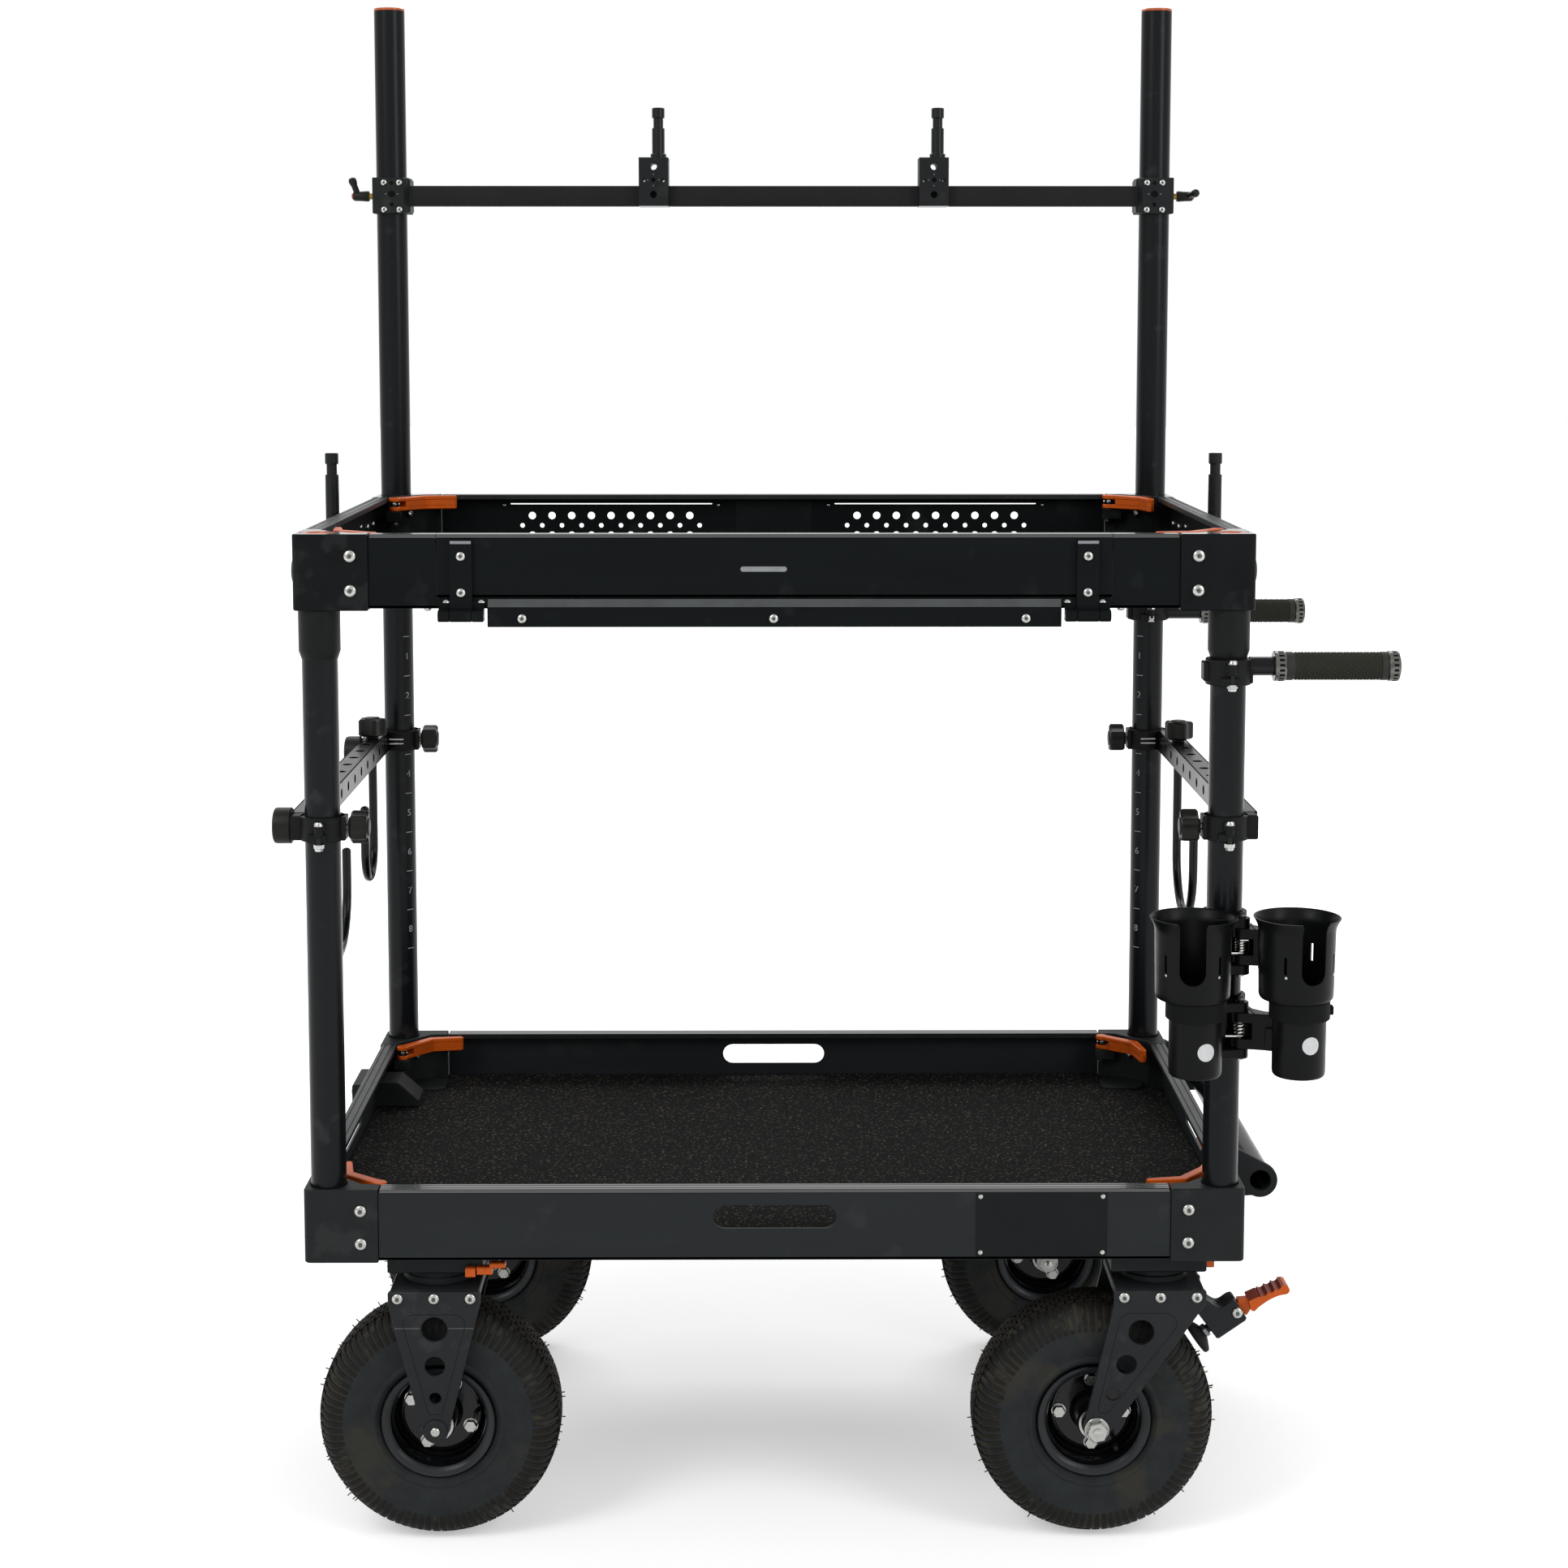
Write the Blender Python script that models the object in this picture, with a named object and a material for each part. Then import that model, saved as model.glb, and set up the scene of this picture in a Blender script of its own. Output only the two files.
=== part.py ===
"""Camera cart: two railed shelves on four posts, tall rear masts with a crossbar, a drop-down
front gate, four pneumatic wheels on casters, and the accessories clamped to its posts.

Metres, +Z up, +X to the cart's right, +Y to its rear. Every shape is built in cart coordinates,
with the floor at Z = 0 and the middle of the shelves at X = Y = 0. The last step moves the whole
cart so that the origin lies under the middle of its overall box.
"""
import math

import bmesh
import bpy
from mathutils import Matrix, Vector

# Running gap between neighbours, and how far welded shapes run into each other
CLEARANCE = 0.0003
WELD = 0.002

# Shelves
BODY_WIDTH = 1.016
BODY_DEPTH = 0.6604
BOTTOM_SHELF_Z = 0.324
TOP_SHELF_Z = 1.032
SHELF_HEIGHT = 0.081
BOTTOM_DECK_THICKNESS = 0.018
TOP_DECK_THICKNESS = 0.007

# Corner castings
CORNER_ARM_X = 0.080
CORNER_ARM_Y = 0.072
CORNER_THICKNESS = 0.022
CORNER_WEB = 0.044
SOCKET_FLOOR = 0.008

# Extruded rails
RAIL_RECESS = 0.002
RAIL_LIFT = 0.0025
RAIL_WALL = 0.003
RAIL_FLANGE = 0.019
RAIL_LIP = 0.006
RAIL_LIP_WALL = 0.002
HANDHOLE_LENGTH = 0.133
HANDHOLE_HEIGHT = 0.0254
HANDHOLE_RISE = 0.050

# Pierced rear rail of the top shelf
PIERCE_PITCH = 0.0254
PIERCE_COLUMNS = 9
PIERCE_START_X = 0.108
PIERCE_LARGE_RADIUS = 0.0048
PIERCE_SMALL_RADIUS = 0.0030
PIERCE_MIDDLE_RISE = 0.040
PIERCE_ROW_STEP = 0.0127

# Drop-down gate in the front of the top shelf
GATE_END_INSET = 0.152
SILL_RISE = 0.0137
HINGE_INSET = 0.0262
HINGE_STRAP_WIDTH = 0.0230
HINGE_KNUCKLE_WIDTH = 0.012
HINGE_KNUCKLE_RADIUS = 0.0065
HINGE_PIN_RADIUS = 0.0025
HINGE_DROP = 0.0045
HINGE_STAND_OFF = 0.0088
STRAP_THICKNESS = 0.0025
STRAP_HEIGHT = 0.078
SILL_ANGLE_INSET = 0.0273
SILL_ANGLE_DROP = 0.017
SILL_ANGLE_WALL = 0.003

# Latch levers in the shelf corners, placed from the outer corner along and across the rail
LATCH_INSET = 0.030
LATCH_REACH = 0.079
LATCH_HEIGHT = 0.017
LATCH_EYE_RADIUS = 0.0074
LATCH_PIN_RADIUS = 0.003
LATCH_LUG_HEIGHT = 0.014
LATCH_LUG_SIDE = 0.008
LATCH_BEND = (0.032, -0.039)
LATCH_TIP = (0.071, -0.045)
LATCH_HALF_WIDTH = 0.0055

# Posts and masts
TUBE_RADIUS = 0.01905
TUBE_WALL = 0.003
POST_INSET = 0.0244
MAST_TOP_Z = 1.7256
COLLAR_RADIUS = 0.022
COLLAR_LENGTH = 0.045
COLLAR_TAPER = 0.007

# Pneumatic wheels
WHEEL_RADIUS = 0.133
TYRE_HALF_WIDTH = 0.0425
TYRE_WALL = 0.008
RIM_RADIUS = 0.0625
RIM_WELL_RADIUS = 0.054
RIM_WALL = 0.004
RIM_HALF_WIDTH = 0.036
RIM_DISC_OFFSET = 0.006
RIM_DISC_THICKNESS = 0.008
HUB_RADIUS = 0.019
HUB_HALF_LENGTH = 0.044
AXLE_RADIUS = 0.008
AXLE_NUT_ACROSS_FLATS = 0.024
AXLE_NUT_THICKNESS = 0.009

# Casters
WHEEL_PLANE_INSET = 0.0662
RIGID_CASTER_INSET = 0.1385
SWIVEL_CASTER_INSET = 0.0895
SWIVEL_TRAIL = 0.0675
FORK_TOP_Z = 0.289
FORK_HALF_WIDTH = 0.060
FORK_PLATE = 0.006
FORK_CROWN = 0.010
FORK_HALF_LENGTH = 0.050
FORK_STRAIGHT = 0.015
FORK_END_RADIUS = 0.014
FORK_HOLE_RADII = (0.014, 0.011, 0.0065)
FORK_HOLE_PLACES = (0.73, 0.50, 0.27)
CASTER_PLATE_Z = 0.304
CASTER_PLATE_HALF_LENGTH = 0.052
CASTER_PLATE_HALF_WIDTH = 0.044
CASTER_RACE_RADIUS = 0.038
KINGPIN_RADIUS = 0.008
KINGPIN_NUT_RADIUS = 0.014
KINGPIN_NUT_HEIGHT = 0.008

# Brake on each swivel fork, placed from the swivel axis
BRAKE_WIDTH = 0.030
BRAKE_SLOT = 0.0126
BRAKE_PIVOT_X = 0.0915
BRAKE_PIVOT_Z = 0.2475
BRAKE_EYE_RADIUS = 0.0085
BRAKE_PIN_RADIUS = 0.003
BRAKE_LEVER_LENGTH = 0.0634
BRAKE_LEVER_RISE = 0.436
BRAKE_LEVER_WIDTH = 0.029
BRAKE_STEM_RADIUS = 0.005
BRAKE_STEM_LENGTH = 0.018
BRAKE_PAD_RADIUS = 0.020
BRAKE_PAD_THICKNESS = 0.006
BRAKE_PAD_STAND_OFF = 0.014

# Crossbar with its clamps, ratchet levers and pin blocks
SQUARE_BAR = 0.0254
CROSSBAR_Z = 1.492
MAST_CLAMP_WIDTH = 0.045
MAST_CLAMP_DEPTH = 0.0496
MAST_CLAMP_HEIGHT = 0.046
RATCHET_STUD_RADIUS = 0.004
RATCHET_STUD_LENGTH = 0.005
RATCHET_HUB_RADIUS = 0.0075
RATCHET_HUB_LENGTH = 0.0265
RATCHET_ARM_LENGTH = 0.024
RATCHET_ARM_RADIUS = 0.005
RATCHET_ARM_LEAN = 0.35
PIN_BLOCK_X = (-0.151, 0.2025)
PIN_BLOCK_WIDTH = 0.037
PIN_BLOCK_WALL = 0.012
PIN_BLOCK_TOP = 0.035
PIN_OFFSET = 0.0055
PIN_RADIUS = 0.008
PIN_NECK_RADIUS = 0.00625
PIN_FLANGE_RADIUS = 0.010
PIN_FLANGE_HEIGHT = 0.006
PIN_BODY_HEIGHT = 0.032
PIN_NECK_HEIGHT = 0.012
PIN_HEAD_HEIGHT = 0.013

# Side pins in their receivers on the top shelf
SIDE_PIN_OUTSET = 0.0085
SIDE_PIN_TOP_Z = 1.182
RECEIVER_DEPTH = 0.022
RECEIVER_HALF_WIDTH = 0.020
RECEIVER_DROP = 0.010
RECEIVER_HEIGHT = 0.055
ACCESSORY_PLATE_THICKNESS = 0.006
ACCESSORY_PLATE_SPANS = ((-0.250, -0.165), (0.026, 0.139))

# Accessory bars between the post and the mast on each side
BAR_OUTSET = 0.0244
BAR_Z = 0.797
BAR_END_INSET = 0.0158
BAR_WALL = 0.0025
BAR_HOLE_PITCH = 0.0508
BAR_HOLE_RADIUS = 0.0061
CLAMP_WALL = 0.005
CLAMP_HEIGHT = 0.030
CLAMP_PIN_RADIUS = 0.005
CLAMP_PIN_LENGTH = 0.044
CLAMP_PIN_STAND_OFF = 0.0028
ROUND_KNOB_RADIUS = 0.0195
ROUND_KNOB_THICKNESS = 0.0168
ROUND_KNOB_INSETS = (0.020, 0.090)
STAR_KNOB_RADIUS = 0.0187
STAR_KNOB_LOBE = 0.0026
STAR_KNOB_LOBES = 5
STAR_KNOB_THICKNESS = 0.020
STAR_KNOB_NECK_RADIUS = 0.008
STAR_KNOB_NECK_LENGTH = 0.005

# Hooks hung through the bars: leg, gap between legs, lowest point, tip height, knob or nut
HOOK_ROD_RADIUS = 0.0054
HOOK_WASHER_RADIUS = 0.009
HOOK_WASHER_THICKNESS = 0.003
HOOK_NUT_RADIUS = 0.009
HOOK_NUT_HEIGHT = 0.010
HOOK_KNOB_HEIGHT = 0.026
HOOK_SMALL_GAP = 0.073
HOOK_BIG_GAP = 0.134
HOOK_SMALL_LOW_Z = 0.634
HOOK_LEFT_BIG_LOW_Z = 0.595
HOOK_RIGHT_BIG_LOW_Z = 0.600
HOOK_SMALL_TIP_Z = 0.736
HOOK_LEFT_BIG_TIP_Z = 0.713
HOOK_RIGHT_BIG_TIP_Z = 0.730
HOOK_LEFT_SMALL_INSET = 0.0768
HOOK_RIGHT_BIG_INSET = 0.1088
HOOK_LEFT_BIG_PITCHES = 7

# Push handles on the right-hand posts
FRONT_HANDLE_CLAMP_HEIGHT = 0.0276
REAR_HANDLE_CLAMP_HEIGHT = 0.0225
FRONT_HANDLE_Z = 0.9648
FRONT_HANDLE_RISE = 0.0052
REAR_HANDLE_Z = 0.963
HANDLE_BAR_RADIUS = 0.01025
HANDLE_PIN_OVERHANG = 0.007
FRONT_HANDLE_REACH = 0.048
REAR_HANDLE_REACH = 0.066
GRIP_RADIUS = 0.015
GRIP_LENGTH = 0.133
LOCK_RING_RADIUS = 0.01625
LOCK_RING_LENGTH = 0.0115

# Cup holders sprung onto the front right post, placed from its axis
CUP_LEFT_OFFSET = -0.0426
CUP_RIGHT_OFFSET = 0.0669
CUP_STAND_OFF = 0.0612
CUP_RIM_RADIUS = 0.0463
CUP_RADIUS = 0.0407
CUP_BASE_RADIUS = 0.0394
CUP_WALL = 0.0025
CUP_BASE_Z = 0.625
CUP_TOP_Z = 0.712
CUP_FLARE = 0.014
CUP_SLOT_WIDTH = 0.028
CUP_SLOT_LOW_Z = 0.646
CUP_LEFT_SLOT_TURN = -9.0
CUP_RIGHT_SLOT_TURN = 17.0
SLEEVE_SHIFT_X = 0.003
SLEEVE_SHIFT_Y = -0.005
SLEEVE_RADIUS = 0.028
SLEEVE_COLLAR_RADIUS = 0.032
SLEEVE_COLLAR_HEIGHT = 0.013
SLEEVE_BASE_Z = 0.543
SLEEVE_BORE_RADIUS = 0.0245
JAW_Z = (0.645, 0.554)
JAW_HEIGHT = 0.061
JAW_WALL = 0.005
JAW_PIVOT_OFFSET = 0.0124
JAW_PIVOT_STAND_OFF = 0.0372
JAW_PIN_RADIUS = 0.003
JAW_EYE_RADIUS = 0.009
JAW_LEAF = 0.0107
LEFT_ARM = ((-0.034, -0.014), (0.001, -0.0085), (0.001, 0.0085), (-0.010, 0.0165), (-0.024, 0.021))
RIGHT_ARM = ((-0.001, -0.0085), (0.040, -0.022), (0.040, -0.006), (0.014, 0.024), (-0.001, 0.020))
SPRING_WIRE_RADIUS = 0.0011
SPRING_RADIUS = 0.0062
SPRING_TURNS = 5
SPRING_POINTS = 8
SPRING_LEG = 0.0164
SPRING_SHORT_LEG = 0.0062
SPRING_ROOM_Z = 0.667
SPRING_ROOM_HEIGHT = 0.017

# Bumper bar on the right of the bottom shelf, and the receiver on its left
BUMPER_OUTSET = 0.052
BUMPER_Z = 0.350
BUMPER_RADIUS = 0.0155
BUMPER_BORE_RADIUS = 0.012
BUMPER_LENGTH = 0.437
BUMPER_END_INSET = 0.0262
BUMPER_PLATE_THICKNESS = 0.008
BUMPER_PLATE_RADIUS = 0.020
SOCKET_FRONT_Y = 0.160
SOCKET_REAR_Y = 0.235
SOCKET_DEPTH = 0.022
SOCKET_LOW_RISE = 0.033
SOCKET_HEIGHT = 0.023
GUSSET_SPAN = (0.172, 0.222)
GUSSET_LENGTH = 0.057
GUSSET_FLAT = 0.031
GUSSET_HEIGHT = 0.0315
GUSSET_NOSE = 0.008

# Segment counts of the round shapes
TUBE_SEGMENTS = 20
WHEEL_SEGMENTS = 20
BEARING_SEGMENTS = 16
PIN_SEGMENTS = 20
SMALL_SEGMENTS = 8

# Values that follow from the ones above
HALF_WIDTH = BODY_WIDTH / 2
HALF_DEPTH = BODY_DEPTH / 2
POST_X = HALF_WIDTH - POST_INSET
POST_Y = HALF_DEPTH - POST_INSET
RAIL_HEIGHT = SHELF_HEIGHT - RAIL_LIFT
DECK_RISE = RAIL_LIFT + RAIL_WALL + CLEARANCE
BORE_RADIUS = TUBE_RADIUS + CLEARANCE
GATE_HALF_WIDTH = HALF_WIDTH - GATE_END_INSET
HINGE_X = GATE_HALF_WIDTH - HINGE_INSET
SILL_ANGLE_HALF_WIDTH = HINGE_X - SILL_ANGLE_INSET
HINGE_Y = -HALF_DEPTH + RAIL_RECESS - HINGE_STAND_OFF
HINGE_Z = TOP_SHELF_Z - HINGE_DROP
CLAMP_RADIUS = BORE_RADIUS + CLAMP_WALL
WELD_SMALL = WELD / 2
FORK_INNER = FORK_HALF_WIDTH - FORK_PLATE
AXLE_Z = WHEEL_RADIUS
RACE_SPLIT_Z = (FORK_TOP_Z + CASTER_PLATE_Z) / 2
WHEEL_PLANE_Y = HALF_DEPTH - WHEEL_PLANE_INSET
RIGID_CASTER_X = -HALF_WIDTH + RIGID_CASTER_INSET
SWIVEL_CASTER_X = HALF_WIDTH - SWIVEL_CASTER_INSET
BAR_X = POST_X + BAR_OUTSET
BAR_REAR_Y = POST_Y - BAR_END_INSET
BAR_FRONT_Y = -BAR_REAR_Y
ROUND_KNOB_PLACES_Y = (BAR_FRONT_Y + ROUND_KNOB_INSETS[0], BAR_REAR_Y - ROUND_KNOB_INSETS[1])
HOOK_LEFT_SMALL_Y = POST_Y - HOOK_LEFT_SMALL_INSET
HOOK_RIGHT_BIG_Y = POST_Y - HOOK_RIGHT_BIG_INSET
CUP_LEFT_X = POST_X + CUP_LEFT_OFFSET
CUP_RIGHT_X = POST_X + CUP_RIGHT_OFFSET
CUP_Y = -POST_Y - CUP_STAND_OFF
JAW_PIVOT_X = POST_X + JAW_PIVOT_OFFSET
JAW_PIVOT_Y = -POST_Y - JAW_PIVOT_STAND_OFF
BUMPER_X = HALF_WIDTH + BUMPER_OUTSET
BUMPER_REAR_Y = HALF_DEPTH - BUMPER_END_INSET
BUMPER_FRONT_Y = BUMPER_REAR_Y - BUMPER_LENGTH

# Finishes: colour, roughness, metallic
FINISHES = {
    "rail_black": ((0.028, 0.030, 0.031), 0.42, 0.35),
    "casting_black": ((0.024, 0.025, 0.026), 0.48, 0.25),
    "tube_black": ((0.016, 0.017, 0.018), 0.30, 0.55),
    "deck_black": ((0.020, 0.020, 0.020), 0.65, 0.0),
    "felt_black": ((0.006, 0.006, 0.006), 1.0, 0.0),
    "lever_orange": ((0.560, 0.120, 0.020), 0.35, 0.30),
    "tyre_rubber": ((0.020, 0.021, 0.021), 0.80, 0.0),
    "rim_black": ((0.010, 0.010, 0.011), 0.18, 0.30),
    "fork_grey": ((0.045, 0.047, 0.049), 0.45, 0.40),
    "plastic_black": ((0.018, 0.019, 0.019), 0.50, 0.0),
    "spring_steel": ((0.450, 0.450, 0.440), 0.30, 1.0),
    "pad_rubber": ((0.030, 0.030, 0.030), 0.85, 0.0),
}


def clear_scene():
    for obj in list(bpy.data.objects):
        bpy.data.objects.remove(obj, do_unlink=True)


def shape(vertices, faces):
    """Working object made of points and faces, with its faces turned outwards."""
    mesh = bpy.data.meshes.new("shape")
    mesh.from_pydata(vertices, [], faces)
    bm = bmesh.new()
    bm.from_mesh(mesh)
    bmesh.ops.recalc_face_normals(bm, faces=bm.faces)
    bm.to_mesh(mesh)
    bm.free()
    obj = bpy.data.objects.new("shape", mesh)
    bpy.context.scene.collection.objects.link(obj)
    return obj


def on_axis(axis, first, second, along):
    """Point whose coordinate along the axis is last and whose other two come in X, Y, Z order."""
    if axis == "X":
        return (along, first, second)
    if axis == "Y":
        return (first, along, second)
    return (first, second, along)


def prism(outline, low, high, axis="Z"):
    """Outline swept straight along one axis, from low to high."""
    count = len(outline)
    vertices = [on_axis(axis, a, b, along) for along in (low, high) for a, b in outline]
    faces = [(i, (i + 1) % count, count + (i + 1) % count, count + i) for i in range(count)]
    faces.append(tuple(range(count)))
    faces.append(tuple(range(count, 2 * count)))
    return shape(vertices, faces)


def box(low, high):
    """Block between two opposite corners."""
    outline = [(low[0], low[1]), (high[0], low[1]), (high[0], high[1]), (low[0], high[1])]
    return prism(outline, low[2], high[2])


def turned(profile, segments, axis="Z", ring=False, centre=(0.0, 0.0, 0.0)):
    """Profile of (radius, height) points turned about an axis: a ring, or a bar with flat ends."""
    count = len(profile)
    vertices = []
    for step in range(segments):
        turn = 2 * math.pi * step / segments
        for radius, height in profile:
            point = on_axis(axis, radius * math.cos(turn), radius * math.sin(turn), height)
            vertices.append(Vector(point) + Vector(centre))
    spans = count if ring else count - 1
    faces = []
    for step in range(segments):
        here = step * count
        there = (step + 1) % segments * count
        for i in range(spans):
            j = (i + 1) % count
            faces.append((here + i, here + j, there + j, there + i))
    if not ring:
        faces.append(tuple(step * count for step in range(segments)))
        faces.append(tuple(step * count + count - 1 for step in range(segments)))
    return shape(vertices, faces)


def rod(radius, low, high, segments, axis="Z", centre=(0.0, 0.0, 0.0)):
    """Round bar from low to high along an axis."""
    return turned([(radius, low), (radius, high)], segments, axis, centre=centre)


def ring_sector(centre, inner, outer, start, end, low, high, steps=8):
    """Part of an upright ring between two angles in degrees."""
    turns = [math.radians(start + (end - start) * i / steps) for i in range(steps + 1)]
    outside = [(centre[0] + outer * math.cos(t), centre[1] + outer * math.sin(t)) for t in turns]
    inside = [(centre[0] + inner * math.cos(t), centre[1] + inner * math.sin(t)) for t in turns]
    return prism(outside + inside[::-1], low, high)


def capsule(length, height, steps=6):
    """Outline of a slot with round ends, about its middle."""
    radius = height / 2
    reach = length / 2 - radius
    points = []
    for side in (1, -1):
        for i in range(steps + 1):
            turn = -math.pi / 2 + math.pi * i / steps
            points.append((side * (reach + radius * math.cos(turn)), side * radius * math.sin(turn)))
    return points


def swept(points, radius, sides):
    """Tube of one radius along a path, with flat ends."""
    path = [Vector(p) for p in points]
    steps = [(b - a).normalized() for a, b in zip(path, path[1:])]
    tangents = [steps[0]] + [(a + b).normalized() for a, b in zip(steps, steps[1:])] + [steps[-1]]
    across = tangents[0].orthogonal().normalized()
    vertices = []
    for i, (point, tangent) in enumerate(zip(path, tangents)):
        if i:
            across = tangents[i - 1].rotation_difference(tangent) @ across
        side = tangent.cross(across)
        stretch = 1.0 / max(0.5, tangent.dot(steps[min(i, len(steps) - 1)]))
        for k in range(sides):
            turn = 2 * math.pi * k / sides
            reach = radius * (1.0 + (stretch - 1.0) * 0.5)
            vertices.append(point + reach * (math.cos(turn) * across + math.sin(turn) * side))
    faces = []
    for i in range(len(path) - 1):
        for k in range(sides):
            n = (k + 1) % sides
            faces.append((i * sides + k, i * sides + n, (i + 1) * sides + n, (i + 1) * sides + k))
    faces.append(tuple(range(sides)))
    faces.append(tuple(range((len(path) - 1) * sides, len(path) * sides)))
    return shape(vertices, faces)


def combine(base, others, operation):
    """Boolean of the other shapes with the base shape, which keeps the result."""
    group = bpy.data.collections.new("operands")
    for other in others:
        group.objects.link(other)
    modifier = base.modifiers.new(operation, "BOOLEAN")
    modifier.operation = operation
    modifier.operand_type = "COLLECTION"
    modifier.collection = group
    modifier.solver = "EXACT"
    evaluated = base.evaluated_get(bpy.context.evaluated_depsgraph_get())
    mesh = bpy.data.meshes.new_from_object(evaluated)
    base.modifiers.clear()
    base.data = mesh
    for other in others:
        bpy.data.objects.remove(other, do_unlink=True)
    bpy.data.collections.remove(group)
    tidy(base.data)
    return base


def tidy(mesh):
    """Merge doubled points and flat neighbours that a cut leaves behind."""
    bm = bmesh.new()
    bm.from_mesh(mesh)
    bmesh.ops.remove_doubles(bm, verts=bm.verts, dist=1e-6)
    bmesh.ops.dissolve_degenerate(bm, edges=bm.edges, dist=1e-6)
    bm.to_mesh(mesh)
    bm.free()


def join(*shapes):
    return combine(shapes[0], list(shapes[1:]), "UNION")


def cut(base, *cutters):
    return combine(base, list(cutters), "DIFFERENCE")


def moved(obj, offset):
    """Shape shifted bodily by an offset."""
    obj.data.transform(Matrix.Translation(Vector(offset)))
    return obj


def finish_material(name, finish):
    """Principled material of one piece."""
    colour, roughness, metallic = FINISHES[finish]
    material = bpy.data.materials.new(name + "_" + finish)
    material.use_nodes = True
    shader = material.node_tree.nodes["Principled BSDF"]
    shader.inputs["Base Color"].default_value = (*colour, 1.0)
    shader.inputs["Roughness"].default_value = roughness
    shader.inputs["Metallic"].default_value = metallic
    return material


def piece(obj, name, finish, origin=(0.0, 0.0, 0.0)):
    """Named piece made from a working shape, with its own origin."""
    moved(obj, -Vector(origin))
    obj.name = name
    obj.data.name = name
    obj.location = origin
    obj.data.shade_smooth()
    obj.data.set_sharp_from_angle(angle=math.radians(35))
    obj.data.materials.clear()
    obj.data.materials.append(finish_material(name, finish))
    return obj


def copy_of(original, name, origin, turn=0.0):
    """Second object on the first one's mesh, at another origin and turned about Z."""
    obj = bpy.data.objects.new(name, original.data)
    obj.location = origin
    obj.rotation_euler = (0.0, 0.0, turn)
    bpy.context.scene.collection.objects.link(obj)
    return obj


def rail_section(height):
    """Rail cross-section as (inward, up) points: web, bottom flange, top flange and its lip."""
    lip_inner = RAIL_FLANGE - RAIL_LIP_WALL
    under = height - RAIL_WALL
    return [(0.0, 0.0), (RAIL_FLANGE, 0.0), (RAIL_FLANGE, RAIL_WALL), (RAIL_WALL, RAIL_WALL),
            (RAIL_WALL, under), (lip_inner, under), (lip_inner, height - RAIL_LIP),
            (RAIL_FLANGE, height - RAIL_LIP), (RAIL_FLANGE, height), (0.0, height)]


def cross_rail(side, shelf_z):
    """Front (side -1) or rear (side 1) rail between the castings."""
    face = HALF_DEPTH - RAIL_RECESS
    bottom = shelf_z + RAIL_LIFT
    outline = [(side * (face - inward), bottom + up) for inward, up in rail_section(RAIL_HEIGHT)]
    reach = HALF_WIDTH - CORNER_ARM_X - CLEARANCE
    return prism(outline, -reach, reach, "X")


def side_rail(side, shelf_z):
    """Left (side -1) or right (side 1) rail, run into the castings at both ends."""
    face = HALF_WIDTH - RAIL_RECESS
    bottom = shelf_z + RAIL_LIFT
    outline = [(side * (face - inward), bottom + up) for inward, up in rail_section(RAIL_HEIGHT)]
    reach = HALF_DEPTH - CORNER_ARM_Y + WELD
    return prism(outline, -reach, reach, "Y")


def corner_point(side_x, side_y, along_x, along_y):
    """Point measured inwards from an outer corner of the shelf."""
    return (side_x * (HALF_WIDTH - along_x), side_y * (HALF_DEPTH - along_y))


def corner_casting(side_x, side_y, shelf_z):
    thick = CORNER_THICKNESS
    web = CORNER_THICKNESS + CORNER_WEB
    outline = [(0.0, 0.0), (CORNER_ARM_X, 0.0), (CORNER_ARM_X, thick), (web, thick),
               (thick, web), (thick, CORNER_ARM_Y), (0.0, CORNER_ARM_Y)]
    points = [corner_point(side_x, side_y, a, b) for a, b in outline]
    return prism(points, shelf_z, shelf_z + SHELF_HEIGHT)


def latch_place(side_x, side_y, across, along):
    """Point at a latch, measured from the outer corner across and along the rail it closes on."""
    if side_x * side_y < 0:
        return corner_point(side_x, side_y, across, along)
    return corner_point(side_x, side_y, along, across)


def latch_lug(side_x, side_y, shelf_z):
    """Shelf and pin that carry a latch lever, beside the end of a casting's arm."""
    top = shelf_z + SHELF_HEIGHT - LATCH_HEIGHT - CLEARANCE
    inner = CORNER_THICKNESS - WELD
    outer = LATCH_INSET + LATCH_LUG_SIDE
    near = LATCH_REACH - 2 * LATCH_LUG_SIDE
    far = LATCH_REACH + LATCH_LUG_SIDE
    outline = [(inner, near), (outer, near), (outer, far), (inner, far)]
    points = [latch_place(side_x, side_y, a, b) for a, b in outline]
    lug = prism(points, top - LATCH_LUG_HEIGHT, top)
    x, y = latch_place(side_x, side_y, LATCH_INSET, LATCH_REACH)
    pin_top = shelf_z + SHELF_HEIGHT - CLEARANCE
    pin = rod(LATCH_PIN_RADIUS, top - WELD, pin_top, SMALL_SEGMENTS, centre=(x, y, 0.0))
    return [lug, pin]


def post_bore(side_x, side_y, low, high):
    centre = (side_x * POST_X, side_y * POST_Y, 0.0)
    return rod(BORE_RADIUS, low, high, TUBE_SEGMENTS, centre=centre)


def side_frame(side, shelf_z, through, extras=()):
    """One end of a shelf: two castings, the side rail welded between them and the latch lugs."""
    front = corner_casting(side, -1, shelf_z)
    rear = corner_casting(side, 1, shelf_z)
    lugs = latch_lug(side, -1, shelf_z) + latch_lug(side, 1, shelf_z)
    frame = join(front, rear, side_rail(side, shelf_z), *lugs, *extras)
    low = shelf_z - WELD if through else shelf_z + SOCKET_FLOOR
    high = shelf_z + SHELF_HEIGHT + WELD
    return cut(frame, post_bore(side, -1, low, high), post_bore(side, 1, low, high))


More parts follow.
